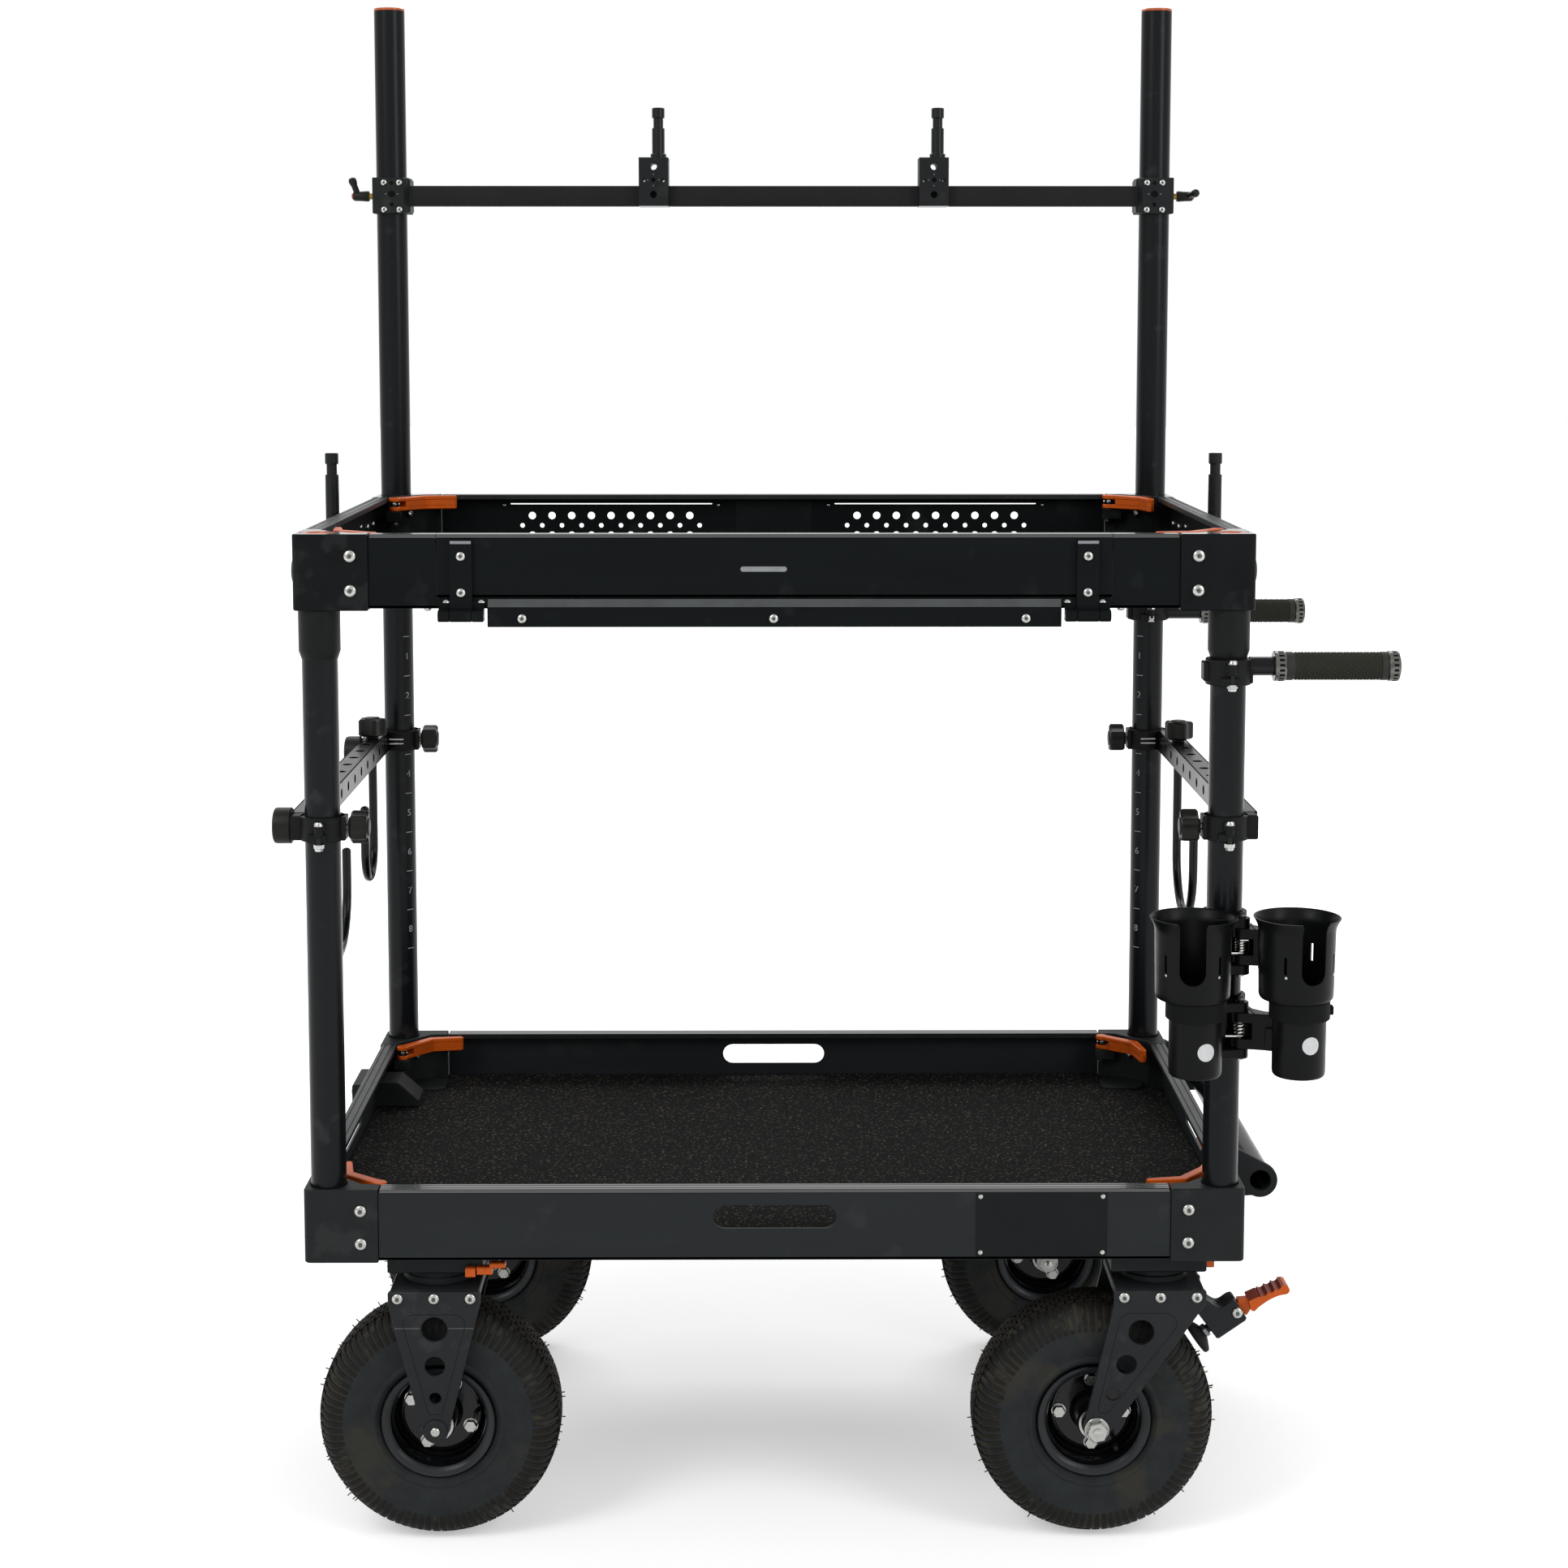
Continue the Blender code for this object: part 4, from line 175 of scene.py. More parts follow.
# Near black for slots, holes and hollows: painted shade where little light reaches
RECESS_SHADE = material("painted_recess_shade", "080909", 0.6, 0.0, 0.05, spread=0.2, scale=80)
# Darker steel for the hexagon in bolt sockets: painted shade of the socket hole
SOCKET_SHADE = material("socket_steel_painted_shade", "545452", 0.45, 0.6, 0.2, spread=0.2, scale=200)
FELT = material("deck_felt", "0b0b0b", 1.0, 0.0, 0.1, spread=0.85, scale=330, bump=1.0,
                bump_scale=600, wear=("5b564d", 0.75, 300, 0.58))
STEEL = material("bolt_steel", "a9aaa6", 0.26, 1.0, 0.5, spread=0.12, scale=300, bump=0.04)
ORANGE = material("lever_orange", "c0520c", 0.36, 0.1, 0.25, spread=0.12, bump=0.05,
                  bump_scale=1500, wear=("86340c", 0.6, 60, 0.6))
CAP = material("cap_orange", "b04c12", 0.22, 0.1, 0.5, spread=0.1)
TYRE = material("tyre_sidewall", "252829", 0.6, 0.0, 0.1, spread=0.22, scale=45, bump=0.25,
                bump_scale=500, wear=("34322c", 0.7, 14, 0.53))
TREAD = material("tyre_tread", "201e1a", 0.72, 0.0, 0.1, spread=0.3, scale=90, bump=0.35,
                 bump_scale=500, wear=("3a382f", 0.7, 40, 0.56))
RIM = material("rim_gloss", "0c0d0f", 0.16, 0.1, 0.25, scale=30, coat=0.1, rough_spread=0.04)
FLANGE = material("rim_flange", "232629", 0.3, 0.1, 0.22, scale=30)
FORK = material("fork_coat", "232527", 0.46, 0.15, 0.12, spread=0.12, scale=25, bump=0.1,
                bump_scale=1300, wear=("3b3d3e", 0.35, 30, 0.6))
ETCH = material("etched_line", "6a6c6d", 0.5, 0.3, 0.3, spread=0.1)
GROOVE = material("engraved_line", "141517", 0.5, 0.1, 0.1, spread=0.1)
PEDAL = material("pedal_top", "84301a", 0.4, 0.1, 0.2, scale=90)
PLASTIC = material("moulded_plastic", "121313", 0.45, 0.0, 0.1, scale=90, bump=0.15, bump_scale=1400)
KNOB = material("knob_plastic", "171815", 0.42, 0.0, 0.14, scale=90, bump=0.1, bump_scale=1400)
CUP = material("cup_plastic", "0d0e0f", 0.34, 0.0, 0.09, spread=0.12, bump=0.1, bump_scale=1600)
COLLAR = material("collar_rubber", "0f1010", 0.7, 0.0, 0.08, scale=90, bump=0.15)
GRIP = material("grip_rubber", "25261f", 0.68, 0.0, 0.14, scale=90, bump=0.2)
FLARE = material("grip_flange", "2b2b29", 0.6, 0.0, 0.14, spread=0.12, scale=90, bump=0.2)
RING = material("ring_chrome", "5f5f5c", 0.25, 0.9, 0.5, spread=0.3, scale=120, rough_spread=0.12)
ROD = material("rod_black", "0c0d0e", 0.22, 0.1, 0.18)
MARK = material("mark_paint", "b4b8ba", 0.6, 0.0, 0.3, scale=200)
DISC = material("blank_disc", "c9cbcc", 0.5, 0.0, 0.4, spread=0.06, scale=200)
# Pale metal for real metal parts, also used for a painted highlight on the gate straps
PALE_METAL_AND_HIGHLIGHT = material("pale_metal_and_painted_highlight", "7d8082", 0.4, 0.6, 0.5, spread=0.1, scale=120)
PIN = material("pin_blackened", "141617", 0.28, 0.2, 0.2, scale=80)
PAD = material("pad_rubber", "1c1c1c", 0.7, 0.0, 0.1, scale=120, bump=0.3)
PLATE = material("blank_plate", "131516", 0.35, 0.1, 0.1, spread=0.12, scale=30)
SPRING = material("spring_wire", "d0d0cd", 0.22, 1.0, 0.5, spread=0.08, scale=300)
BRASS = material("stud_brass", "7d6a35", 0.35, 0.9, 0.5, scale=200)
BAR = material("bar_coat", "1e1d1d", 0.5, 0.1, 0.1, spread=0.12, scale=20, bump=0.06, bump_scale=1300)


# Outlines, as loops of two coordinates

def area(loop):
    return sum(a[0] * b[1] - b[0] * a[1] for a, b in zip(loop, loop[1:] + loop[:1])) / 2


def rect(x0, y0, x1, y1):
    return [(x0, y0), (x1, y0), (x1, y1), (x0, y1)]


def arc(x, y, radius, start, end, count=8):
    turns = [math.radians(start + (end - start) * i / count) for i in range(count + 1)]
    return [(x + radius * math.cos(t), y + radius * math.sin(t)) for t in turns]


def circle(x, y, radius, count=24):
    return arc(x, y, radius, 0, 360, count)[:-1]


def capsule(x, y, length, height, count=10):
    reach, radius = (length - height) / 2, height / 2
    return arc(x + reach, y, radius, -90, 90, count) + arc(x - reach, y, radius, 90, 270, count)


def rounded(x0, y0, x1, y1, r, count=5):
    out = []
    for x, y, start in ((x1 - r, y0 + r, -90), (x1 - r, y1 - r, 0), (x0 + r, y1 - r, 90),
                        (x0 + r, y0 + r, 180)):
        out += arc(x, y, r, start, start + 90, count)
    return out


def softened(corners, radii, count=6):
    """Loop through the corners, each of them rounded."""
    out = []
    for i, (corner, radius) in enumerate(zip(corners, radii)):
        here = Vector(corner)
        back = (Vector(corners[i - 1]) - here).normalized()
        ahead = (Vector(corners[(i + 1) % len(corners)]) - here).normalized()
        half = math.acos(back.dot(ahead)) / 2
        centre = here + (back + ahead).normalized() * radius / math.sin(half)
        first = here + back * radius / math.tan(half) - centre
        last = here + ahead * radius / math.tan(half) - centre
        start = math.atan2(first.y, first.x)
        sweep = (math.atan2(last.y, last.x) - start + math.pi) % (2 * math.pi) - math.pi
        out += [(centre.x + radius * math.cos(start + sweep * k / count),
                 centre.y + radius * math.sin(start + sweep * k / count)) for k in range(count + 1)]
    return out


def inset(loop, amount):
    """Loop moved inwards by an amount, or outwards if it is negative."""
    loop = loop[::-1] if area(loop) < 0 else loop
    out = []
    for i, point in enumerate(loop):
        before = Vector(point) - Vector(loop[i - 1])
        after = Vector(loop[(i + 1) % len(loop)]) - Vector(point)
        n1 = Vector((-before.y, before.x)).normalized()
        n2 = Vector((-after.y, after.x)).normalized()
        push = (n1 + n2) / max(0.35, 1 + n1.dot(n2))
        out.append((point[0] + push.x * amount, point[1] + push.y * amount))
    return out


# Shapes, each as (points, faces)

def skin(rows, n, base=0, closed=True, looped=False):
    """Faces between rows of n points: closed along the rows, looped from the last row to the first."""
    return [(base + r * n + i, base + r * n + (i + 1) % n,
             base + (r + 1) % rows * n + (i + 1) % n, base + (r + 1) % rows * n + i)
            for r in range(rows if looped else rows - 1) for i in range(n if closed else n - 1)]


def plate(outline, low, high, axis="Z", holes=(), chamfer=0.6):
    """Outline with holes, swept along an axis, with chamfered rims."""
    low, high = sorted((low, high))
    points, faces = [], []
    ends = (([], []), ([], []))
    for number, loop in enumerate([outline, *holes]):
        loop = loop if area(loop) > 0 else loop[::-1]
        edge = inset(loop, -chamfer if number else chamfer) if chamfer else loop
        rings = [(edge, low), (loop, low + chamfer), (loop, high - chamfer), (edge, high)]
        rings = rings if chamfer else rings[::3]
        base, n = len(points), len(loop)
        for ring, along in rings:
            points += [{"X": (along, a, b), "Y": (a, along, b), "Z": (a, b, along)}[axis] for a, b in ring]
        faces += skin(len(rings), n, base)
        for (loops, numbers), ring, start in zip(ends, (rings[0][0], rings[-1][0]), (base, len(points) - n)):
            loops.append([Vector((a, b, 0.0)) for a, b in ring])
            numbers.extend(range(start, start + n))
    for loops, numbers in ends:
        faces += [tuple(numbers[i] for i in tri) for tri in tessellate_polygon(loops)]
    return points, faces


def block(low, high, chamfer=0.6):
    """Box between two opposite corners."""
    (x0, x1), (y0, y1), (z0, z1) = (sorted(pair) for pair in zip(low, high))
    return plate(rect(x0, y0, x1, y1), z0, z1, chamfer=chamfer)


def turn(profile, segments=40, ring=False):
    """Profile of (radius, height) points turned about Z; a ring's profile is a closed section."""
    n = len(profile)
    points = []
    for step in range(segments):
        t = 2 * math.pi * step / segments
        points += [(r * math.cos(t), r * math.sin(t), h) for r, h in profile]
    faces = skin(segments, n, closed=ring, looped=True)
    if not ring:
        faces += [tuple(range(0, segments * n, n)), tuple(range(n - 1, segments * n, n))]
    return points, faces


def disc(radius, low, high, chamfer=0.6, segments=40):
    return turn([(radius - chamfer, low), (radius, low + chamfer), (radius, high - chamfer),
                 (radius - chamfer, high)], segments)


def tube(path, radius, sides=16):
    """Round rod along a path."""
    path = [Vector(p) for p in path]
    steps = [(b - a).normalized() for a, b in zip(path, path[1:])]
    tangents = [steps[0]] + [(a + b).normalized() for a, b in zip(steps, steps[1:])] + [steps[-1]]
    across = tangents[0].orthogonal().normalized()
    points = []
    for i, (point, tangent) in enumerate(zip(path, tangents)):
        if i:
            across = tangents[i - 1].rotation_difference(tangent) @ across
        side = tangent.cross(across)
        for k in range(sides):
            t = 2 * math.pi * k / sides
            points.append(point + radius * (math.cos(t) * across + math.sin(t) * side))
    last = len(points)
    return points, skin(len(path), sides) + [tuple(range(sides)), tuple(range(last - sides, last))]


def at(x, y, z=0.0, way=UP, spin=0.0):
    """Placing of a shape built along Z: its origin, the way its Z points and a spin about it."""
    aim = Vector(UP).rotation_difference(Vector(way)).to_matrix().to_4x4()
    return Matrix.Translation((x, y, z)) @ aim @ Matrix.Rotation(math.radians(spin), 4, "Z")


def spun(share):
    """Rotation about Z by a share of a whole turn."""
    return Matrix.Rotation(2 * math.pi * share, 4, "Z")


FLIP = Matrix.Rotation(math.pi, 4, "X")


class Piece:
    """Visible piece in the place of one node, gathered shape by shape."""

    def __init__(self, name):
        self.node = name
        self.points, self.faces, self.slots, self.materials = [], [], [], []

    def add(self, shape, mat, *places):
        """Adds a shape as it is, or once at each of the places."""
        points, faces = shape
        if mat not in self.materials:
            self.materials.append(mat)
        for place in places or [Matrix()]:
            base = len(self.points)
            self.points += [place @ Vector(point) for point in points]
            self.faces += [[base + i for i in face] for face in faces]
            self.slots += [self.materials.index(mat)] * len(faces)

    def button(self, r, h, *places):
        """Domed bolt heads with a hexagon socket, of a radius and a height; the socket's hexagon is darker
        steel, a painted shade.
        """
        self.add(turn([(r, 0), (r, 0.2 * h), (0.94 * r, 0.5 * h), (0.78 * r, 0.8 * h), (0.46 * r, h),
                       (0.40 * r, h), (0.38 * r, 0.4 * h), (0.0, 0.4 * h)], 28), STEEL, *places)
        self.add(turn([(0.36 * r, 0.3 * h), (0.36 * r, 0.5 * h)], 6), SOCKET_SHADE, *places)

    def hexagon(self, across, height, washer, *places):
        """Hexagonal bolt heads or nuts, with a washer unless it is 0 thick."""
        r = across / 2 / math.cos(math.pi / 6)
        self.add(turn([(r, washer), (r, height * 0.8 + washer), (r * 0.9, height + washer),
                       (0, height + washer)], 6), STEEL, *places)
        if washer:
            self.add(disc(r * 1.15, 0, washer, 0.2, 28), STEEL, *places)

    def make(self, slot, body=None):
        """Makes the object; it rides on the body of its own name unless another is given."""
        name = self.node + "_look"
        mesh = bpy.data.meshes.new(name)
        mesh.from_pydata([p * 0.001 + OFFSET for p in self.points], [], self.faces)
        for mat in self.materials:
            mesh.materials.append(mat)
        mesh.polygons.foreach_set("material_index", self.slots)
        bm = bmesh.new()
        bm.from_mesh(mesh)
        bmesh.ops.remove_doubles(bm, verts=bm.verts, dist=1e-7)
        bmesh.ops.recalc_face_normals(bm, faces=bm.faces)
        bm.to_mesh(mesh)
        bm.free()
        obj = bpy.data.objects.new(name, mesh)
        bpy.context.scene.collection.objects.link(obj)
        mesh.shade_smooth()
        mesh.set_sharp_from_angle(angle=math.radians(32))
        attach(obj, body or self.node)
        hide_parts(self.node)


# Shelves

# Top of a rail section as (inward, up): ridged flange and lip
RAIL_CAP = [(a, HEIGHT - drop) for a, drop in (
    (0, 4.5), (0, 0.8), (0.8, 0), (4.4, 0), (4.9, 1), (6.3, 1), (6.8, 0), (12.6, 0), (13.1, 1), (14.5, 1),
    (15, 0), (18.2, 0), (19, 0.8), (19, 6), (17, 6), (17, 3), (3, 3), (3, 4.5))]


def rail_run(piece, run, side, z, start, stop, mat, edge, holes=()):
    """Stretch of a rail along X or Y, with the cap short of the castings."""
    face, across = (FACE_Y, "Y") if run == "X" else (FACE_X, "X")
    wall = rect(start, z + 2.5, stop, z + HEIGHT - 3.5)
    piece.add(plate(wall, side * face, side * (face - 3), across, holes, 0.4), mat)
    ends = [e - math.copysign(CAP_GAP, e) if abs(e) in (RAIL_END, SIDE_END) else e for e in (start, stop)]
    piece.add(plate([(side * (face - a), z + b) for a, b in RAIL_CAP], *ends, run, chamfer=0), edge)
    piece.add(plate(rect(side * face, z + 2.5, side * (face - 19), z + 5.5), start, stop, run, chamfer=0.3),
              mat)


def in_corner(sx, sy, u, v):
    """Point u and v inside a shelf's corner, mirrored so that each corner's latch turns alike."""
    if sx * sy > 0:
        u, v = v, u
    return sx * (HALF_W - u), sy * (HALF_D - v)


def casting(piece, sx, sy, z, mat):
    """Corner casting with its bore, bolts and latch lug."""
    outline = arc(7, 7, 7, 180, 270, 6) + [(80, 0), (80, 22), (66, 22), (60, 23.5), (23.5, 60), (22, 66),
                                           (22, 72), (0, 72)]
    points = [(sx * (HALF_W - a), sy * (HALF_D - b)) for a, b in outline]
    bore = circle(sx * POST_X, sy * POST_Y, TUBE_R + 0.5, 40)
    piece.add(plate(points, z, z + HEIGHT, "Z", [bore], 1.1), mat)
    if mat is TOP_CASTING:
        piece.add(plate(inset(points, 1.4), z + HEIGHT - 0.1, z + HEIGHT + 0.1, "Z", [bore], 0), EDGE)
    for up in (58, 21.4):
        piece.button(6.8, 3.6, at(sx * 446.5, sy * HALF_D, z + up, (0, sy, 0)),
                     at(sx * HALF_W, sy * (HALF_D - 58), z + up, (sx, 0, 0)))
    lug = [in_corner(sx, sy, u, v) for u, v in rect(20, 63, 38, 87)]
    piece.add(plate(lug, z + 50, z + 63.7, chamfer=1), mat)
    piece.button(4.0, 2.4, at(sx * (HALF_W - 45), sy * (HALF_D - 43), z + 57.6, (-sx, -sy, 0)))
    piece.hexagon(8, 4, 0, at(*in_corner(sx, sy, 30, 79), z + 50, DOWN))


def shelf_end(name, sx, z, coat, rail_coat, holes=()):
    """Side frame of a shelf: two castings and the rail between them."""
    piece = Piece(name)
    casting(piece, sx, -1, z, coat)
    casting(piece, sx, 1, z, coat)
    rail_run(piece, "Y", sx, z, -SIDE_END, SIDE_END, rail_coat, SIDE_EDGE, holes)
    return piece


def deck_outline():
    """Board inside the rails, stepped round the castings."""
    steps = [(80.4, 5.4), (80.4, 22.4), (66, 22.4), (60, 24), (24, 60), (22.4, 66), (22.4, 72.4), (5.4, 72.4)]
    outline = []
    for sx, sy in ((-1, -1), (1, -1), (1, 1), (-1, 1)):
        turned = steps if sx * sy < 0 else steps[::-1]
        outline += [(sx * (HALF_W - a), sy * (HALF_D - b)) for a, b in turned]
    return outline


handhole = capsule(0, BOTTOM_Z + 50, 133, 25.4)

rail = Piece("bottom_front_rail")
rail_run(rail, "X", -1, BOTTOM_Z, -RAIL_END, RAIL_END, RAIL, EDGE, [handhole])
rail.add(plate(rounded(217, 330, 359, 401, 2), -FACE_Y - 0.8, -FACE_Y + 0.2, "Y", chamfer=0.2), PLATE)
rail.add(turn([(2.6, 0), (2.4, 0.9), (1.4, 1.5), (0, 1.7)], 20), STEEL,
         *(at(x, -FACE_Y - 0.8, z, FRONT) for x, z in rect(222, 334.5, 354, 396.5)))
rail.make("rail", FIXED)

rail = Piece("bottom_rear_rail")
rail_run(rail, "X", 1, BOTTOM_Z, -RAIL_END, RAIL_END, RAIL, EDGE, [handhole])
rail.make("rail", FIXED)

left = shelf_end("bottom_left_frame", -1, BOTTOM_Z, CASTING, RAIL, [handhole])
left.add(block((-530, 160, 357), (-505, 235, 380), 1.5), CASTING)
left.button(4.5, 2.5, *(at(-530, y, 368.5, LEFT) for y in (172, 223)))
slope = [(-505, 348.2), (-448, 348.2), (-448, 356.5), (-474, 379.6), (-505, 379.6)]
left.add(plate(slope, 172, 222, "Y", chamfer=1), CASTING)
left.make("casting", FIXED)

right = shelf_end("bottom_right_frame", 1, BOTTOM_Z, CASTING, RAIL, [handhole])
teardrop = [(505, 330), (505, 399), (512, 399)] + arc(560, 350, 20, 62, -118, 14) + [(512, 330)]
for start, end in ((-133, -125), (296, 304)):
    right.add(plate(teardrop, start, end, "Y", [circle(560, 350, 12, 28)], 0.8), CASTING)
right.add(turn([(15.5, 0), (15.5, 421), (12, 421), (12, 0)], 40, ring=True), TUBE, at(560, -125, 350, BACK))
right.button(5.5, 3, at(522, -133, 385, FRONT), at(522, 304, 385, BACK))
right.make("casting", FIXED)

deck = Piece("bottom_deck")
deck.add(plate(deck_outline(), 329.8, 347.6, chamfer=0.8), FELT)
for x in (-478, 424):
    deck.add(plate(rounded(x, 246, x + 54, 296, 14), 347.0, 350.5, chamfer=1), CASTING)
deck.make("deck", FIXED)

rail = Piece("top_front_rail")
face = -FACE_Y
opening = GATE_HALF + 0.6
for sx in (-1, 1):
    rail_run(rail, "X", -1, TOP_Z, *sorted((sx * RAIL_END, sx * opening)), TOP_RAIL, EDGE)
rail.add(block((-opening, face, TOP_Z + 2.5), (opening, face + 3, TOP_Z + 13.6), 0.2), TOP_RAIL)
rail.add(block((-opening, face, TOP_Z + 2.5), (opening, face + 19, TOP_Z + 5.5), 0.4), TOP_RAIL)
angle = [(face + 1, 1015), (face - 3, 1015), (face - 3, 1036), (face - 0.6, 1044), (face + 1, 1044)]
rail.add(plate(angle, -302.5, 302.5, "X", chamfer=0.4), TOP_RAIL)
# Slanted face of the sill painted a lighter grey: a painted highlight
sill_highlight_outline = [(face - 3.2, 1036.2), (face - 2.7, 1036.2), (face - 0.3, 1044.4), (face - 0.8, 1044.4)]
rail.add(plate(sill_highlight_outline, -302, 302, "X", chamfer=0), SILL_HIGHLIGHT)
rail.button(5.2, 3, *(at(x, face - 3, 1024, FRONT) for x in (-266, -1, 265)))
hinge = at(0, HINGE_Y, HINGE_Z, RIGHT)
for sx in (-1, 1):
    middle = sx * HINGE_X
    rail.add(block((middle - 24, face - 2, HINGE_Z - 6), (middle + 24, face + 1, 1043), 0.4), TOP_RAIL)
    for end in (-1, 1):
        start, stop = sorted((middle + end * 11.9, middle + end * 23.9))
        rail.add(disc(6.5, start, stop, 0.6, 28), TOP_RAIL, hinge)
        rail.add(block((start, HINGE_Y, HINGE_Z - 3), (stop, face, HINGE_Z + 3), 0.3), TOP_RAIL)
    rail.add(disc(3, middle - 24.3, middle + 24.3, 0.4, 20), PIN, hinge)
    rail.add(turn([(4.3, 0), (4.1, 1.6), (2.8, 3), (0, 3.7)], 24), STEEL,
             *(at(sx * x, face - 3.6, 1041.2) for x in (345.5, 308.4)))
    rail.button(4.5, 3, at(sx * 366, face + 6, TOP_Z + 2.5, DOWN))
rail.make("rail", FIXED)

gate = Piece("front_gate")
foot = TOP_Z + 14.3
gate.add(plate(rect(-GATE_HALF, foot, GATE_HALF, TOP_Z + HEIGHT - 3.5), face, face + 3, "Y", chamfer=0.2),
         TOP_RAIL)
gate.add(plate([(face + a, TOP_Z + b) for a, b in RAIL_CAP], -GATE_HALF, GATE_HALF, "X", chamfer=0), EDGE)
gate.add(block((-GATE_HALF, face, foot), (GATE_HALF, face + 19, foot + 3), 0.3), TOP_RAIL)
gate.add(plate(capsule(-11.5, 1076, 49, 5.6), face - 0.5, face + 0.5, "Y", chamfer=0.2), PALE_METAL_AND_HIGHLIGHT)
for middle in (-HINGE_X, HINGE_X):
    gate.add(block((middle - 11.6, face - 4.8, foot), (middle + 11.6, face + 0.5, 1107), 0.7), TOP_RAIL)
    gate.add(block((middle - 11.6, face - 4.8, HINGE_Z), (middle + 11.6, face - 2.3, foot + 1), 0.5),
             TOP_RAIL)
    gate.add(disc(6.5, middle - 11.6, middle + 11.6, 0.6, 28), TOP_RAIL, hinge)
    # Pale strip at the top of each strap's face: a painted highlight where its top edge catches light
    gate.add(block((middle - 11, face - 5.0, 1103), (middle + 11, face - 4.4, 1106.2), 0.2), PALE_METAL_AND_HIGHLIGHT)
    gate.button(5.2, 2.8, *(at(middle, face - 4.8, z, FRONT) for z in (1090, 1051.5)))
gate.make("rail")

rail = Piece("top_rear_rail")
holes = []
for side in (-1, 1):
    for column in range(9):
        holes += [circle(side * (108 + column * HOLE_PITCH), z, 4.8, 16) for z in (1059.4, 1084.8)]
    holes += [circle(side * (108 + (column - 0.5) * HOLE_PITCH), 1072.1, 3.0, 12) for column in range(10)]
    holes.append(capsule(side * 209, 1100, 260, 1.4, 4))
rail_run(rail, "X", 1, TOP_Z, -RAIL_END, RAIL_END, TOP_RAIL, EDGE, holes)
rail.add(block((-49, 324.2, 1040), (49, 325.6, 1104), 0.3), PLATE)
rail.button(2.2, 1.2, *(at(x, 325.2, 1098, FRONT) for x in (-347, -71, 71, 347)))
rail.make("rail", FIXED)


def spigot(piece, x, y, low, top):
    """16 mm spigot with a neck under its head."""
    piece.add(turn([(8, low), (8, top - 26), (7.4, top - 25.2), (6.2, top - 25), (6.2, top - 13.2),
                    (7.4, top - 13), (8, top - 12.2), (8, top - 0.8), (7.2, top), (0, top)], 32), PIN,
              at(x, y))


for sx, side in SIDES:
    end = shelf_end("top_" + side + "_frame", sx, TOP_Z, TOP_CASTING, TOP_RAIL)
    inner = sx * (FACE_X - 1)
    end.add(block((inner, -20, 1042), (sx * (FACE_X + 22), 20, 1097), 1.5), CASTING)
    spigot(end, sx * 516.5, 0, 1090, 1182)
    for start, stop in ((-250, -165), (26, 139)):
        end.add(block((inner, start, 1042), (sx * (FACE_X + 6), stop, 1097), 1.0), CASTING)
        for y in (start + 11, stop - 11):
            end.button(4.5, 2.4, *(at(sx * (FACE_X + 6), y, z, (sx, 0, 0)) for z in (1085, 1053)))
            end.button(3.6, 2.0, at(sx * (FACE_X - 3), y, 1085, (-sx, 0, 0)))
    end.button(4.2, 2.4, *(at(sx * (FACE_X - 3), y, 1081, (-sx, 0, 0)) for y in (182, 230)))
    end.add(turn([(15, 0), (14.4, 1.4), (12, 2.4), (0, 2.6)], 36), CASTING,
            *(at(sx * HALF_W, y, 1073, (sx, 0, 0)) for y in (-POST_Y, POST_Y)))
    end.make("casting", FIXED)

deck = Piece("top_deck")
deck.add(plate(deck_outline(), 1037.8, 1044.6), FELT)
deck.make("deck", FIXED)


# Latch levers

def lever_shape(eye=True):
    """Outline of a latch lever in its own plane, with its eye or from where the fork ends."""
    half = 5.4
    bend = Vector((32, -39))
    tip = Vector((71, -45))
    first = bend.normalized()
    second = (tip - bend).normalized()
    side_a = Vector((-first.y, first.x))
    side_b = Vector((-second.y, second.x))
    elbow = (side_a + side_b).normalized() * half * 1.05
    heading = math.degrees(math.atan2(first.y, first.x))
    outline = arc(0, 0, 7.4, heading + 48, heading + 312, 14)
    if not eye:
        outline = [tuple(first * 14 + side_a * half), tuple(first * 14 - side_a * half)]
    outline += [tuple(p) for p in (bend - elbow, bend + second * 6 - side_b * half,
                                   tip - side_b * half * 0.75,
                                   tip + second * 2, tip + side_b * half * 0.75, bend + elbow)]
    return [(x, -y) for x, y in outline]


for level, z in (("bottom", BOTTOM_Z), ("top", TOP_Z)):
    for corner, sx, sy, spin in (("rear_left", -1, 1, 0), ("rear_right", 1, 1, -90),
                                 ("front_right", 1, -1, 180), ("front_left", -1, -1, 90)):
        place = at(*in_corner(sx, sy, 30, 79), z + HEIGHT, spin=spin)
        lever = Piece("latch_" + level + "_" + corner)
        for low, high in ((-17, -11.8), (-5.2, -0.1)):
            lever.add(plate(lever_shape(), low, high, chamfer=1.0), ORANGE, place)
        lever.add(plate(lever_shape(False), -12, -5, chamfer=0.1), ORANGE, place)
        # Dark disc in the slot between the prongs: painted shade
        lever.add(disc(5.2, -12, -5, 0.1, 24), RECESS_SHADE, place)
        lever.add(turn([(2.9, 0), (2.5, 1.0), (0, 1.5)], 20), STEEL,
                  place @ at(0, -5, -8.5, FRONT), place @ at(5, 0, -8.5, RIGHT))
        lever.make("lever")


# Posts and masts

